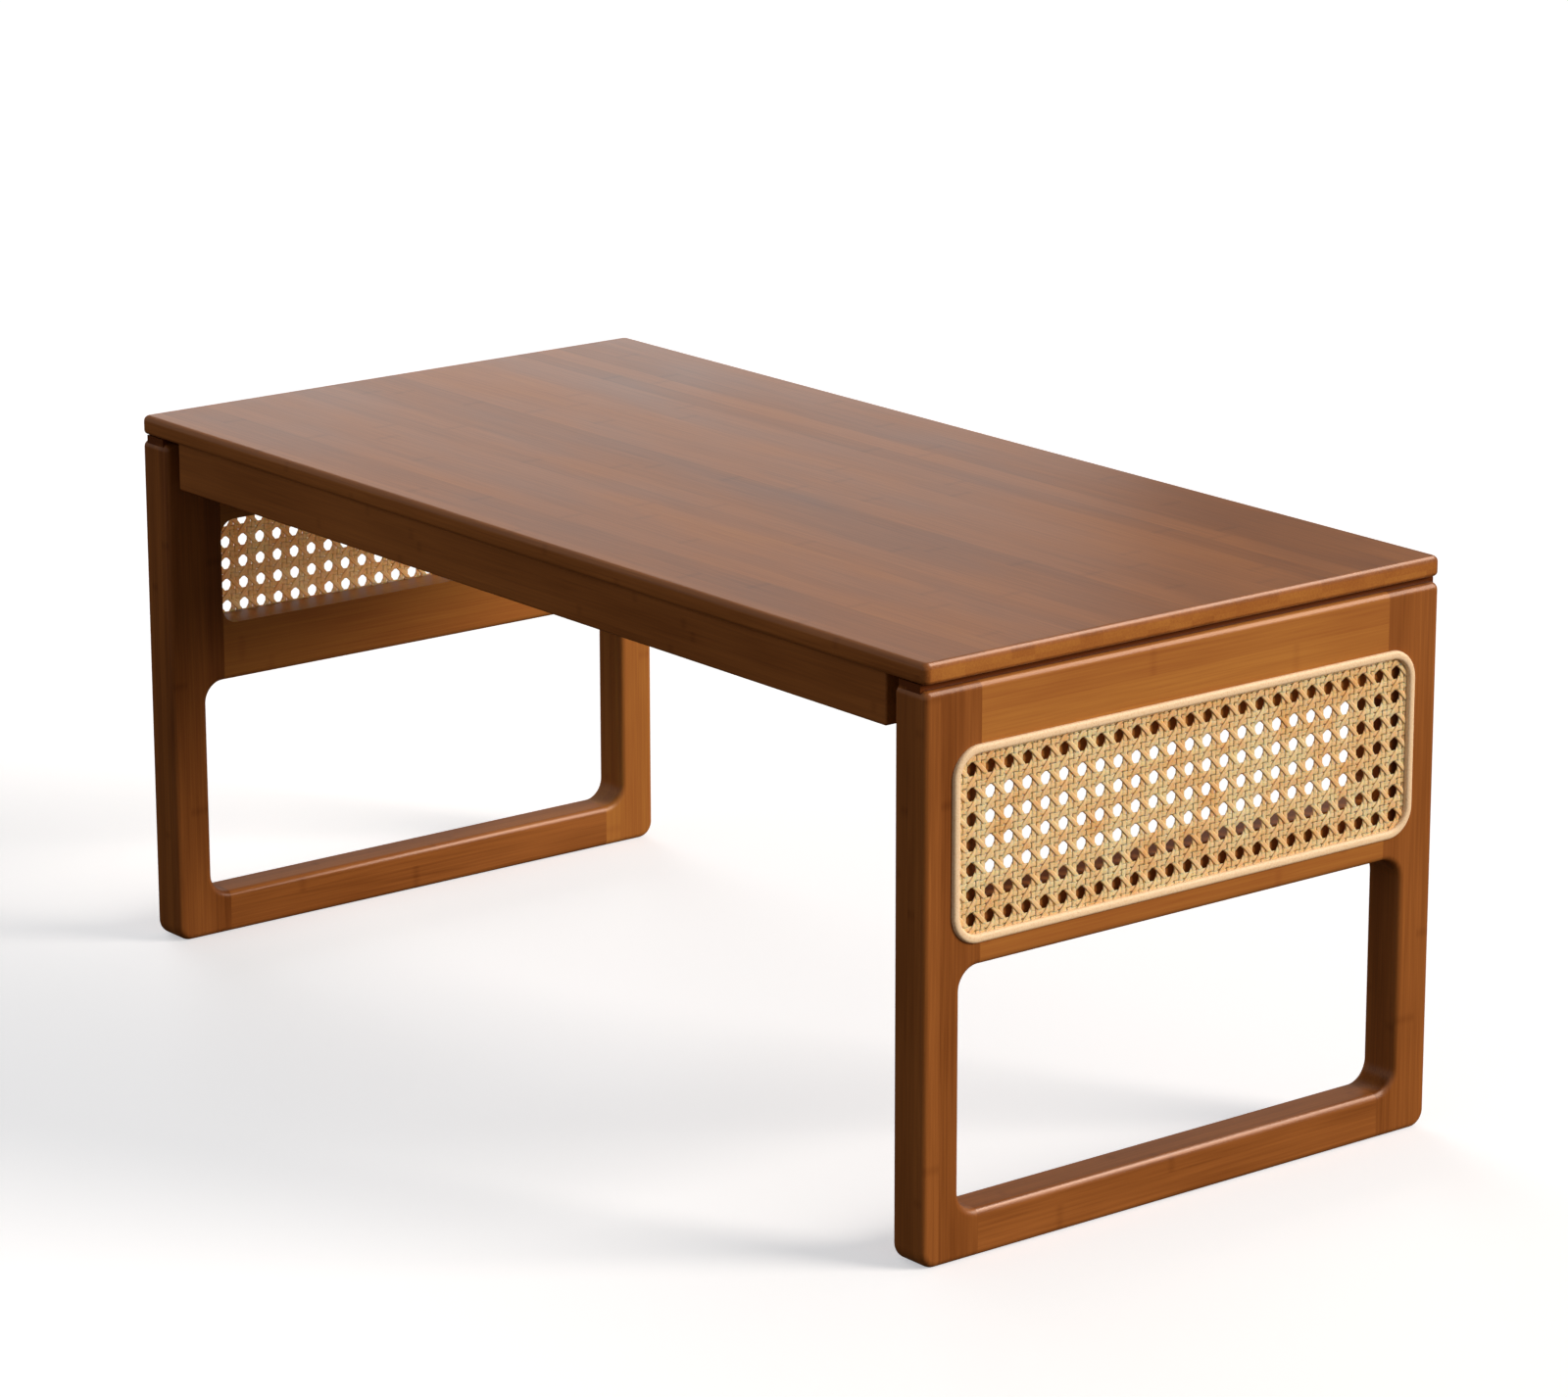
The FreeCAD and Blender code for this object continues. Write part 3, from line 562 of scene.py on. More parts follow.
def plated_steel(name, tint, roughness, mark_length):
    """Pressed or drawn steel with a thin bright plate.

    It gives a soft metal sheen broken by fine rolling marks, a little uneven from handling.
    """
    # Real rolling marks are far finer and would not show, so they are drawn coarser
    mark_width = 0.5 * MM
    darkest, lightest = 0.7, 1.1
    smoother, rougher = 0.08, 0.12
    material, tree = emptied(bpy.data.materials.new(name))
    place = add_node(tree, "TexCoord").outputs["Object"]
    stretch = add_node(tree, "VectorMath", {0: place, 1: (1 / mark_width, 1 / mark_length, 1 / mark_width)},
                       operation="MULTIPLY")
    mark = add_node(tree, "TexNoise", {"Vector": stretch, "Scale": 1, "Detail": 2})
    shade = add_node(tree, "MapRange", {"Value": mark, "To Min": darkest, "To Max": lightest})
    plate = add_node(tree, "VectorMath", {0: tint[:3], "Scale": shade}, operation="SCALE")
    gloss = add_node(tree, "MapRange", {
        "Value": mark, "To Min": roughness - smoother, "To Max": roughness + rougher})
    grain = add_node(tree, "Bump", {"Height": mark, "Strength": 0.1, "Distance": 0.05 * MM})
    surface = add_node(tree, "BsdfPrincipled", {
        "Base Color": plate, "Metallic": 1.0, "Roughness": gloss, "Normal": grain})
    add_node(tree, "OutputMaterial", {"Surface": surface})
    return material


def seamless_paper():
    """Matt studio paper, which gives a plain pale ground with hardly any tooth."""
    paper = bpy.context.scene.tea_table_colours.floor
    # Real paper's tooth is far finer and would not show, so it is drawn coarser
    tooth_size = 3 * MM
    material, tree = emptied(bpy.data.materials.new("seamless_studio_paper"))
    place = add_node(tree, "TexCoord").outputs["Object"]
    tooth = add_node(tree, "TexNoise", {"Vector": place, "Scale": 1 / tooth_size, "Detail": 2})
    grain = add_node(tree, "Bump", {"Height": tooth, "Strength": 0.03, "Distance": 0.1 * MM})
    surface = add_node(tree, "BsdfPrincipled", {
        "Base Color": paper, "Roughness": 0.9, "Normal": grain,
        "Emission Color": paper, "Emission Strength": 0.5})
    add_node(tree, "OutputMaterial", {"Surface": surface})
    return material


# Finishing a piece, and giving it its place among the bodies of the frame

def body_of(node):
    """The body that a node of the frame rides on."""
    return frame["nodes"][node]["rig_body"]


def finish(piece, material, body):
    """Give a piece its finish and the body that it rides on."""
    piece.data.materials.clear()
    piece.data.materials.append(material)
    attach(piece, body)


def stand_for(node, piece, material):
    """Finish a piece that stands for a node of the frame."""
    finish(piece, material, body_of(node))
    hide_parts(node)


def finish_board(node, board, along, tone=0.0, painted_light_and_shade=lambda vertex: 0):
    """Shade a board's round-overs smooth and its flats flat, and stain it.

    The tone goes for the whole board, and the painted light and shade of each vertex is added to it.
    """
    select(board)
    bpy.ops.object.shade_smooth_by_angle(angle=BOARD_CREASE)
    apply_modifier(board, "WEIGHTED_NORMAL", keep_sharp=True)
    shade = board.data.attributes.new(TONE_AND_PAINTED_LIGHT_ATTRIBUTE, "FLOAT", "POINT")
    shade.data.foreach_set("value", [tone + painted_light_and_shade(vertex) for vertex in board.data.vertices])
    stand_for(node, board, bamboo(along))


def refinish(nodes, material):
    """Give nodes of the frame that stay in view a finish."""
    for node in nodes:
        for material_slot in frame["nodes"][node].material_slots:
            material_slot.material = material


# Boards of the leg frames

def leg_cutters():
    """Cutters for the right leg frame's opening, its window, and the rebate and recess of its cane."""
    boards = bpy.context.scene.tea_table_boards
    cane = bpy.context.scene.tea_table_cane
    stile_low, stile_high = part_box("front_right_stile")
    bottom_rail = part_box("right_leg_bottom_rail")[1].z
    middle_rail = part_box("right_leg_middle_rail")[0].z
    cane_low, cane_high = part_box("right_cane_panel")
    back = stile_low.x - stile_high.x + cane_low.x
    front = 2 * stile_high.x - cane_low.x + boards.leg_edge
    waist = -stile_low.y - boards.stile_waist
    joint = -stile_high.y
    shoulder = stile_high.z - boards.tongue_height
    cane_front = Vector((front, cane_high.y, cane_high.z))
    spare = Vector((0, cane.rebate_spare, cane.rebate_spare))
    ledge = Vector((0, cane.bead_width, cane.bead_width))
    relief = Vector((cane_high.x - cane.relief_depth, cane_low.y, cane_low.z))
    opening = rounded_block("opening_cutter", Vector((back, -waist, bottom_rail)),
                            Vector((front, waist, middle_rail)), boards.opening_radius)
    window = rounded_block("window_cutter", Vector((back, -joint, middle_rail + boards.middle_rail)),
                           Vector((front, joint, shoulder - boards.top_rail)), boards.window_radius)
    rebate = rounded_block("rebate_cutter", cane_low - spare, cane_front + spare,
                           cane.corner_radius + cane.rebate_spare)
    recess = rounded_block("recess_cutter", relief + ledge, cane_front - ledge,
                           cane.corner_radius - cane.bead_width)
    return opening, window, rebate, recess


def round_leg_edges(board, low, high, joint):
    """Round over the edges between a leg board's two faces and the sides that run right through it."""
    def through(face):
        places = [vertex.co.x for vertex in face.verts]
        at_joint = lies_at(face, Y, joint) or lies_at(face, Y, -joint)
        return min(places) < low.x + NEAR and max(places) > high.x - NEAR and not at_joint

    def on_outline(edge):
        flats = [face for face in edge.link_faces if lies_at(face, X, low.x) or lies_at(face, X, high.x)]
        return len(flats) == 1 and any(through(face) for face in edge.link_faces)

    round_edges(board, bpy.context.scene.tea_table_boards.leg_edge, on_outline)


def raise_tongue(board, low, high, end):
    """Stand the tongue that bears the top on a leg board's shoulder, back from the board's end."""
    boards = bpy.context.scene.tea_table_boards
    tongue_low = Vector((low.x + boards.tongue_setback, low.y + end, high.z - boards.leg_corner))
    tongue_high = Vector((high.x - boards.tongue_reveal, high.y, high.z + boards.tongue_height))
    tongue = add_block("tongue", tongue_low, tongue_high)
    apply_modifier(board, "BOOLEAN", operation="UNION", solver="EXACT", object=tongue)
    discard(tongue)


def model_stile(cutters):
    """The front right stile, with its foot, its tongue, its waist beside the opening and the cane's seat."""
    boards = bpy.context.scene.tea_table_boards
    opening, _window, *seats = cutters
    low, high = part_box("front_right_stile")
    high.z -= boards.tongue_height
    stile = add_block("front_right_stile_board", low, high)
    for height, radius, segments in ((low.z, boards.foot_radius, 10), (high.z, boards.leg_corner, 5)):
        round_edges(stile, radius, lambda edge: runs_along(edge, X) and lies_at(edge, Y, low.y) and
                    lies_at(edge, Z, height), segments)
    cut_away(stile, opening, *seats)
    round_leg_edges(stile, low, high, high.y)
    raise_tongue(stile, low, high, boards.tongue_end)
    return stile


def model_leg_rails(cutters):
    """The bottom, middle and top rail of the right leg frame, each between the stiles, by their nodes."""
    boards = bpy.context.scene.tea_table_boards
    _opening, window, *seats = cutters
    joint = -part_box("front_right_stile")[1].y
    around_cane = (window, *seats)
    feather = 0.1 * boards.window_radius
    rails = {}
    for place, cuts, spare_low, spare_high in (("bottom", (), 0, 0), ("middle", around_cane, 0, feather),
                                               ("top", around_cane, feather, boards.tongue_height)):
        node = f"right_leg_{place}_rail"
        low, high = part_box(node)
        low = Vector((low.x, -joint, low.z + spare_low))
        high = Vector((high.x, joint, high.z - spare_high))
        rails[node] = add_block(f"{node}_board", low, high)
        cut_away(rails[node], *cuts)
        round_leg_edges(rails[node], low, high, joint)
        if place == "top":
            raise_tongue(rails[node], low, high, 0)
    return rails


# Cane webbing

def model_strand(run, width, heights):
    """One cane strand along Z, lens-shaped across, that waves through these heights out of the panel."""
    thickness = bpy.context.scene.tea_table_cane.strand_thickness
    sides = 6
    deselect()
    bpy.ops.mesh.primitive_cylinder_add(vertices=sides, radius=0.5, depth=run, end_fill_type="NOTHING")
    strand = placed("cane_strand", (thickness / math.cos(math.pi / sides), width, 1))
    with edit_mode(strand):
        pick(strand, "EDGE", lambda edge: runs_along(edge, Z))
        bpy.ops.mesh.subdivide(number_cuts=len(heights) - 2)
        for ring, height in enumerate(heights):
            level = run * (ring / (len(heights) - 1) - 0.5)
            pick(strand, "VERT", lambda vertex: abs(vertex.co.z - level) < NEAR)
            bpy.ops.transform.translate(value=(height, 0, 0))
    return strand


def lay_strand(strand, start, end, face):
    """A copy of a strand between two points of the panel's Y-Z plane, turned over where face is -1."""
    start = Vector(start)
    end = Vector(end)
    run = end - start
    return copy_of(strand, "laid_strand", turn=(math.atan2(-run.x, run.y), 0, 0), mirror=(face, 1, 1),
                   place=(0, (start.x + end.x) / 2, (start.y + end.y) / 2))


def model_crossing():
    """One crossing of the webbing: a pair of strands each way and the slanting strands round them."""
    cane = bpy.context.scene.tea_table_cane
    wide, tall, thick = cane.column_pitch, cane.row_pitch, cane.strand_thickness
    over_under = [thick * share for share in (0, 0, 0.15, 0.5, 0, -0.5, -0.15, 0, 0)]
    over_to_under = [thick * share for share in (1, 1, 0.9, 0, -0.9, -1, -1)]
    upright = model_strand(tall, cane.strand_width, over_under)
    level = model_strand(wide, cane.strand_width, over_under)
    slant = model_strand(math.hypot(wide, tall) / 2, cane.slant_width, over_to_under)
    strands = []
    for sign in (-1, 1):
        place = sign * cane.pair_spacing / 2
        strands.append(lay_strand(upright, (place, -tall / 2), (place, tall / 2), -sign))
        strands.append(lay_strand(level, (-wide / 2, place), (wide / 2, place), sign))
        for rise in (-1, 1):
            strands.append(lay_strand(slant, (sign * wide / 2, 0), (0, rise * tall / 2), -sign * rise))
    discard(upright, level, slant)
    crossing = joined("right_cane_webbing", strands)
    face_outwards(crossing)
    return crossing


def model_webbing():
    """The right cane panel: the crossing repeated, put in its rebate and trimmed under the bead."""
    cane = bpy.context.scene.tea_table_cane
    low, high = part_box("right_cane_panel")
    middle = (low + high) / 2
    webbing = model_crossing()
    for axis, count, pitch in ((Y, cane.columns, cane.column_pitch), (Z, cane.rows, cane.row_pitch)):
        step = Vector((0, 0, 0))
        step[axis] = pitch
        apply_modifier(webbing, "ARRAY", count=count, use_relative_offset=False, use_constant_offset=True,
                       constant_offset_displace=step, use_merge_vertices=True, merge_threshold=NEAR)
    webbing.location = middle
    webbing.location.y -= cane.column_pitch * (cane.columns - 1) / 2
    webbing.location.z -= cane.row_pitch * (cane.rows - 1) / 2
    placed("right_cane_webbing")
    cuts = 16
    radius = cane.corner_radius - cane.bead_width / 2
    centre = Vector((0, high.y - cane.corner_radius, high.z - middle.z - cane.corner_radius))
    for cut in range(cuts):
        turn = math.tau * cut / cuts
        outwards = Vector((0, math.cos(turn), math.sin(turn)))
        corner = Vector((0, math.copysign(centre.y, outwards.y), math.copysign(centre.z, outwards.z)))
        trim(webbing, middle + corner + radius * outwards, outwards)
    bpy.ops.object.shade_smooth()
    return webbing


def model_bead():
    """The reed bead on the right cane panel: a rounded ring with a half-round crown."""
    cane = bpy.context.scene.tea_table_cane
    low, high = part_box("right_cane_bead")
    foot = low.x - cane.bead_seat
    deselect()
    bpy.ops.mesh.primitive_plane_add(size=1, location=(foot, 0, (low.z + high.z) / 2),
                                     rotation=(0, math.pi / 2, 0))
    bead = placed("right_reed_bead", (high.z - low.z, high.y - low.y, 1))
    with edit_mode(bead):
        bpy.ops.mesh.bevel(offset=cane.corner_radius, segments=14, affect="VERTICES")
        bpy.ops.mesh.select_all(action="SELECT")
        bpy.ops.mesh.inset(thickness=cane.bead_width)
        bpy.ops.mesh.delete(type="FACE")
    apply_modifier(bead, "SOLIDIFY", thickness=high.x - foot, offset=1)
    round_edges(bead, cane.bead_round, lambda edge: lies_at(edge, X, high.x) and
                any(not lies_at(face, X, high.x) for face in edge.link_faces))
    bpy.ops.object.shade_smooth_by_angle(angle=BOARD_CREASE)
    return bead


# Screws

def outwards_at(corner):
    """The signs of the ways along X and along Y that lead outwards at a corner of the table."""
    return (1 if "right" in corner else -1), (-1 if "front" in corner else 1)


def model_screw():
    """A pan-head screw with a cross recess, its head on the plane z = 0 and facing up."""
    sizes = bpy.context.scene.tea_table_fittings
    top = sizes.head_height
    crown = 0.7 * top
    deselect()
    bpy.ops.mesh.primitive_cylinder_add(vertices=20, radius=sizes.head_radius, depth=top,
                                        location=(0, 0, top / 2))
    screw = placed("screw_head")
    round_edges(screw, crown, lambda edge: lies_at(edge, Z, top), segments=3)
    half_width, half_length = sizes.recess_width / 2, sizes.recess_length / 2
    floor = top - sizes.recess_depth
    arms = [add_block("recess_cutter", Vector((-x, -y, floor)), Vector((x, y, 2 * top)))
            for x, y in ((half_width, half_length), (half_length, half_width))]
    cut_away(screw, *arms)
    discard(*arms)
    return screw


def set_screw(screw, place, facing):
    """A copy of the screw head on a face, facing out of it."""
    turn = Vector(facing).to_track_quat("Z", "Y").to_euler()
    return copy_of(screw, "set_screw", turn=turn, place=place)


def leaf_screws(screw, corner, part, facing):
    """Three screw heads on a hinge leaf, facing along X or against it."""
    sizes = bpy.context.scene.tea_table_fittings
    low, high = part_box(f"{corner}_hinge_{part}")
    pin_low, pin_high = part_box(f"{corner}_hinge_pin")
    face = (low.x if facing > 0 else high.x) + facing * sizes.leaf_thickness
    middle = (low.y + high.y) / 2
    height = (pin_low.z + pin_high.z) / 2 + sizes.screw_rise
    return [set_screw(screw, (face, middle + step * sizes.screw_spacing, height), (facing, 0, 0))
            for step in (-1, 0, 1)]


def block_screw(screw, corner):
    """The screw head under the middle of a corner block's triangle."""
    low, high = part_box(f"{corner}_corner_block")
    middle = (low + high) / 2
    sixth = (high.x - low.x) / 6
    along_x, along_y = outwards_at(corner)
    return set_screw(screw, (middle.x + along_x * sixth, middle.y + along_y * sixth, low.z), (0, 0, -1))


# Operators for the pieces

class TEATABLE_OT_table_top(bpy.types.Operator):
    """Model the top board, with rounded corners and rounded-over edges"""

    bl_idname = "teatable.table_top"
    bl_label = "Table top"

    def execute(self, context):
        boards = context.scene.tea_table_boards
        low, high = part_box("table_top")
        top = add_block("table_top_board", low, high)
        round_edges(top, boards.top_corner, lambda edge: runs_along(edge, Z))
        round_edges(top, boards.top_edge, lambda edge: lies_at(edge, Z, high.z))
        round_edges(top, boards.top_underedge, lambda edge: lies_at(edge, Z, low.z), segments=4)
        # Painted sheen: the end faces of the top are painted lighter
        finish_board("table_top", top, "X", TOP_TONE,
                     lambda vertex: PAINTED_END_SHEEN if abs(vertex.co.x) > high.x - NEAR else 0)
        return {"FINISHED"}


class TEATABLE_OT_aprons(bpy.types.Operator):
    """Model the front apron with its lower edges rounded over, and copy it to the rear"""

    bl_idname = "teatable.aprons"
    bl_label = "Aprons"

    def execute(self, context):
        low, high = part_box("front_apron")
        front = add_block("front_apron_board", low, high)
        round_edges(front, context.scene.tea_table_boards.rail_edge,
                    lambda edge: not lies_at(edge, Z, high.z), segments=4)
        for apron, node in with_twin(front, "front_apron"):
            finish_board(node, apron, "X", APRON_TONE)
        return {"FINISHED"}


class TEATABLE_OT_end_rails(bpy.types.Operator):
    """Model the right end rail between the aprons, and copy it to the left"""

    bl_idname = "teatable.end_rails"
    bl_label = "End rails"

    def execute(self, context):
        low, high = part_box("right_end_rail")
        low.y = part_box("front_apron")[1].y
        high.y = -low.y
        right = add_block("right_end_rail_board", low, high)
        round_edges(right, context.scene.tea_table_boards.rail_edge,
                    lambda edge: runs_along(edge, Y) and lies_at(edge, Z, low.z), segments=4)
        for rail, node in with_twin(right, "right_end_rail"):
            finish_board(node, rail, "Y")
        return {"FINISHED"}


class TEATABLE_OT_corner_blocks(bpy.types.Operator):
    """Saw the front right corner block to a triangle, ease its edges, and copy it to the other corners"""

    bl_idname = "teatable.corner_blocks"
    bl_label = "Corner blocks"

    def execute(self, context):
        low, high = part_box("front_right_corner_block")
        block = add_block("front_right_corner_block_piece", low, high)
        trim(block, (low + high) / 2, Vector((-1, 1, 0)))
        round_edges(block, context.scene.tea_table_boards.block_edge,
                    lambda edge: not lies_at(edge, Z, high.z), segments=3)
        for corner in CORNERS:
            along_x, along_y = outwards_at(corner)
            node = f"{corner}_corner_block"
            piece = block
            if corner != "front_right":
                piece = copy_of(block, f"{node}_piece", mirror=(along_x, -along_y, 1))
            finish_board(node, piece, "Z")
        return {"FINISHED"}


class TEATABLE_OT_leg_frames(bpy.types.Operator):
    """Model the boards of the right leg frame, and copy them to the left"""

    bl_idname = "teatable.leg_frames"
    bl_label = "Leg frames"

    def execute(self, context):
        sizes = context.scene.tea_table_boards
        cutters = leg_cutters()
        front = model_stile(cutters)
        rear = copy_of(front, "rear_right_stile_board", mirror=(1, -1, 1))
        boards = {"front_right_stile": front, "rear_right_stile": rear, **model_leg_rails(cutters)}
        discard(*cutters)
        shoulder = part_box("front_right_stile")[1] - Vector((sizes.tongue_reveal, 0, sizes.tongue_height))

        def painted_gap_shade(vertex):
            """Painted shade: dark on the tongue and the shoulder in the gap under the top, where the top's
            shadow falls.
            """
            on_tongue = abs(abs(vertex.co.x) - shoulder.x) < NEAR
            return PAINTED_GAP_SHADE if on_tongue or vertex.co.z > shoulder.z - NEAR else 0

        for right_node, right_board in boards.items():
            for board, node in with_twin(right_board, right_node):
                # The left stiles' tones are painted shade on the front one and painted light on the rear one
                tone = next(tone for words, tone in LEG_TONES_AND_PAINTED_SHADE.items() if words in node)
                finish_board(node, board, "Z" if "stile" in node else "Y", tone, painted_gap_shade)
        return {"FINISHED"}


class TEATABLE_OT_cane_panels(bpy.types.Operator):
    """Weave the right cane panel, and copy it to the left"""

    bl_idname = "teatable.cane_panels"
    bl_label = "Cane panels"

    def execute(self, context):
        material = natural_cane()
        for webbing, node in with_twin(model_webbing(), "right_cane_panel"):
            stand_for(node, webbing, material)
        return {"FINISHED"}


class TEATABLE_OT_cane_beads(bpy.types.Operator):
    """Model the reed bead round the right cane panel, and copy it to the left"""

    bl_idname = "teatable.cane_beads"
    bl_label = "Cane beads"

    def execute(self, context):
        material = peeled_reed()
        for bead, node in with_twin(model_bead(), "right_cane_bead"):
            stand_for(node, bead, material)
        return {"FINISHED"}


class TEATABLE_OT_fittings(bpy.types.Operator):
    """Finish the frame's hinges, stops and catches, and set the screws of the hinges and corner blocks"""

    bl_idname = "teatable.fittings"
    bl_label = "Hinges, catches and screws"

    def execute(self, context):
        colours = context.scene.tea_table_colours
        zinc = plated_steel("zinc_plated_steel", colours.zinc, roughness=0.38, mark_length=12 * MM)
        nickel = plated_steel("nickel_plated_magnet", colours.nickel, roughness=0.25, mark_length=6 * MM)
        for part in ("fixed_leaf", "leg_leaf", "pin"):
            refinish([f"{corner}_hinge_{part}" for corner in CORNERS], zinc)
        for part, material in (("strike_plate", zinc), ("catch_magnet", nickel),
                               ("stop_block", bamboo("Y"))):
            refinish([f"{side}_{part}" for side in SIDES], material)

        screw = model_screw()
        groups = {"table": [], "right_leg": [], "left_leg": []}
        for corner in CORNERS:
            outwards, _along_y = outwards_at(corner)
            for part, facing in (("fixed_leaf", outwards), ("leg_leaf", -outwards)):
                groups[body_of(f"{corner}_hinge_{part}")] += leaf_screws(screw, corner, part, facing)
            groups["table"].append(block_screw(screw, corner))
        discard(screw)
        for body, screws in groups.items():
            group = joined(f"screws_{body}", screws)
            bpy.ops.object.shade_smooth_by_angle(angle=SCREW_CREASE)
            finish(group, zinc, body)
        return {"FINISHED"}


# Stage

def lay_floor():
    """A wide sheet of paper that takes no part in bounced light and reflections."""
    deselect()
    bpy.ops.mesh.primitive_plane_add(size=FLOOR_SIZE)
    floor = placed("studio_floor")
    floor.data.materials.append(seamless_paper())
    floor.visible_diffuse = False
    floor.visible_glossy = False


def hang_sun(name, way, spread, irradiance):
    """A far light that shines from a direction and doesn't show in gloss."""
    way = Vector(way)
    bpy.ops.object.light_add(type="SUN", location=SUN_DISTANCE * way)
    sun = bpy.context.object
    sun.name = name
    sun.rotation_euler = way.to_track_quat("Z", "Y").to_euler()
    sun.data.angle = spread
    sun.data.energy = irradiance
    sun.visible_glossy = False
    return sun


def light_only(light, pieces):
    """Let a light reach only some pieces, and hide it from the camera."""
    reached = bpy.data.collections.new(f"reached_by_{light.name}")
    for piece in pieces:
        reached.objects.link(bpy.data.objects[piece])
    light.light_linking.receiver_collection = reached
    light.visible_camera = False


def hang_card(name, place, aim, width, height, watts, pieces):
    """A card that faces a point and shows only as a reflection, and only in some pieces."""
    bpy.ops.object.light_add(type="AREA", location=place)
    card = bpy.context.object
    card.name = name
    card.rotation_euler = (Vector(place) - aim).to_track_quat("Z", "Y").to_euler()
    card.data.shape = "RECTANGLE"
    card.data.size = width
    card.data.size_y = height
    card.data.energy = watts
    card.visible_diffuse = False
    light_only(card, pieces)
    return card


def hang_cards(stage):
    """The cards that the top, the edges of the top, and the edges of the leg frames mirror."""
    rail_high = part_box("right_leg_top_rail")[1]
    shoulder = Vector((rail_high.x, 0, rail_high.z))
    bottom_rails = [f"{side}_leg_bottom_rail_board" for side in SIDES]
    edged = [f"{corner}_stile_board" for corner in CORNERS] + bottom_rails
    for side in SIDES:
        edged += [f"{side}_leg_top_rail_board", f"{side}_reed_bead"]
    hang_card("sheen_card", stage.sheen_place, Vector((0, 0, stage.sheen_place[Z])), stage.sheen_width,
              stage.sheen_height, stage.sheen_power, ["table_top_board"])
    top_card = hang_card("top_edge_card", stage.top_edge_place, shoulder, stage.top_edge_width,
                         stage.top_edge_height, stage.top_edge_power, ["table_top_board", *bottom_rails])
    leg_card = hang_card("leg_edge_card", stage.leg_edge_place, shoulder, stage.leg_edge_width,
                         stage.leg_edge_height, stage.leg_edge_power, edged)
    for card in (top_card, leg_card):
        card.data.color = stage.edge_tint[:3]


def hang_cane_lamp(stage):
    """A small lamp under the table that lights only the backs of the cane panels."""
    bpy.ops.object.light_add(type="POINT", location=stage.lamp_place)
    lamp = bpy.context.object
    lamp.name = "cane_lamp"
    lamp.data.energy = stage.lamp_power
    lamp.data.color = stage.lamp_tint[:3]
    lamp.data.shadow_soft_size = stage.lamp_radius
    lamp.visible_glossy = False
    light_only(lamp, [f"{side}_cane_webbing" for side in SIDES])


def studio_world(stage):
    """Weak light from all round, browner from below, and white paper where a camera looks past the floor."""
    horizon = 0.1
    world, tree = emptied(bpy.data.worlds.new("studio_world"))
    look = add_node(tree, "TexCoord").outputs["Generated"]
    rise = add_node(tree, "SeparateXYZ", {"Vector": look}).outputs["Z"]
    share = add_node(tree, "MapRange", {"Value": rise, "From Min": -horizon, "From Max": horizon})
    tint = add_node(tree, "ValToRGB", {"Fac": share}, [(0, stage.ground_tint), (1, stage.sky_tint)])
    sky = add_node(tree, "Background", {"Color": tint, "Strength": stage.sky_strength})
    paper = add_node(tree, "Background", {"Color": stage.backdrop})
    seen = add_node(tree, "LightPath").outputs["Is Camera Ray"]
    shown = add_node(tree, "MixShader", {0: seen, 1: sky, 2: paper})
    add_node(tree, "OutputWorld", {"Surface": shown})
    return world


def photo_camera(stage):
    """The camera, where the photograph was taken from."""
    bpy.ops.object.camera_add(location=stage.camera_place)
    camera = bpy.context.object
    camera.name = "photo_camera"
    heading = Euler((math.pi / 2 - stage.camera_drop, 0, stage.camera_turn)).to_matrix()
    camera.rotation_euler = (heading @ Matrix.Rotation(stage.camera_roll, 3, "Z")).to_euler()
    camera.data.lens = stage.lens
    camera.data.sensor_width = SENSOR_WIDTH
    return camera


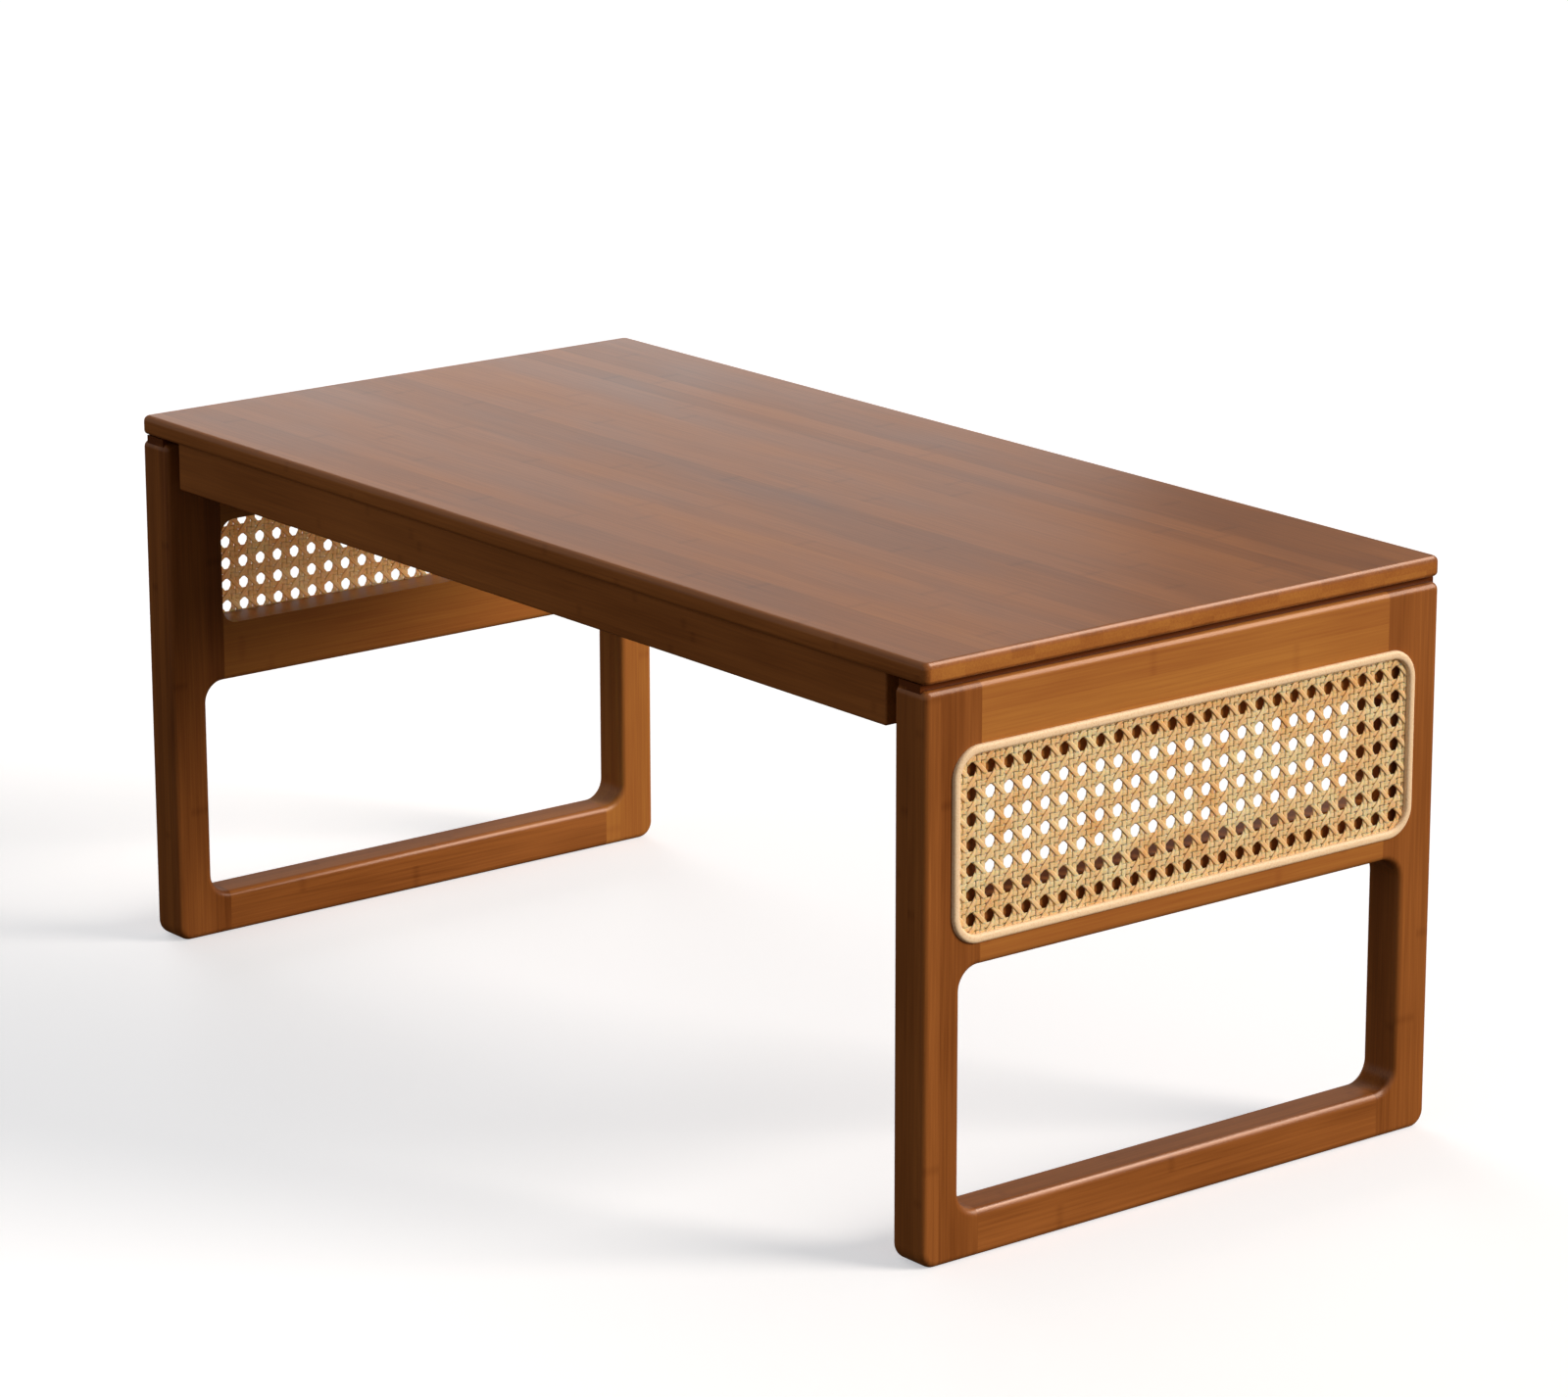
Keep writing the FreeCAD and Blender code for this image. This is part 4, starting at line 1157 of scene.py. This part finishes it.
class TEATABLE_OT_stage(bpy.types.Operator):
    """Lay the floor, hang the lights and set up the camera"""

    bl_idname = "teatable.stage"
    bl_label = "Stage"

    def execute(self, context):
        scene = context.scene
        stage = scene.tea_table_stage
        lay_floor()
        key = hang_sun("key_light", stage.key_from, stage.key_spread, stage.key_strength)
        key.data.color = stage.key_tint[:3]
        hang_sun("rim_light", stage.rim_from, stage.rim_spread, stage.rim_strength)
        hang_sun("fill_light", stage.fill_from, stage.fill_spread, stage.fill_strength)
        hang_cards(stage)
        hang_cane_lamp(stage)
        scene.world = studio_world(stage)
        scene.camera = photo_camera(stage)
        scene.view_settings.view_transform = "Standard"
        return {"FINISHED"}


class TEATABLE_PT_sidebar(bpy.types.Panel):
    """Sizes, colours and light of the table, and the operators that make it"""

    bl_idname = "TEATABLE_PT_sidebar"
    bl_label = "Tea table"
    bl_space_type = "VIEW_3D"
    bl_region_type = "UI"
    bl_category = "Tea table"

    def draw(self, context):
        for operator in OPERATORS:
            self.layout.operator(operator.bl_idname)
        for name, group in GROUPS.items():
            box = self.layout.box()
            for value in group.__annotations__:
                box.prop(getattr(context.scene, name), value)


GROUPS = {
    "tea_table_boards": BoardSizes,
    "tea_table_cane": CaneSizes,
    "tea_table_fittings": FittingSizes,
    "tea_table_colours": FinishColours,
    "tea_table_stage": StageSettings,
}
OPERATORS = (
    TEATABLE_OT_table_top,
    TEATABLE_OT_aprons,
    TEATABLE_OT_end_rails,
    TEATABLE_OT_corner_blocks,
    TEATABLE_OT_leg_frames,
    TEATABLE_OT_cane_panels,
    TEATABLE_OT_cane_beads,
    TEATABLE_OT_fittings,
    TEATABLE_OT_stage,
)
CLASSES = (*GROUPS.values(), *OPERATORS, TEATABLE_PT_sidebar)


def register():
    """Register the classes and give the scene its groups of values."""
    for one_class in CLASSES:
        bpy.utils.register_class(one_class)
    for name, group in GROUPS.items():
        setattr(bpy.types.Scene, name, PointerProperty(type=group))


def unregister():
    """Take the groups of values off the scene and unregister the classes."""
    for name in GROUPS:
        delattr(bpy.types.Scene, name)
    for one_class in reversed(CLASSES):
        bpy.utils.unregister_class(one_class)


def main():
    """Make the whole table."""
    register()
    bpy.ops.teatable.table_top()
    bpy.ops.teatable.aprons()
    bpy.ops.teatable.end_rails()
    bpy.ops.teatable.corner_blocks()
    bpy.ops.teatable.leg_frames()
    bpy.ops.teatable.cane_panels()
    bpy.ops.teatable.cane_beads()
    bpy.ops.teatable.fittings()
    bpy.ops.teatable.stage()


if __name__ == "__main__":
    main()
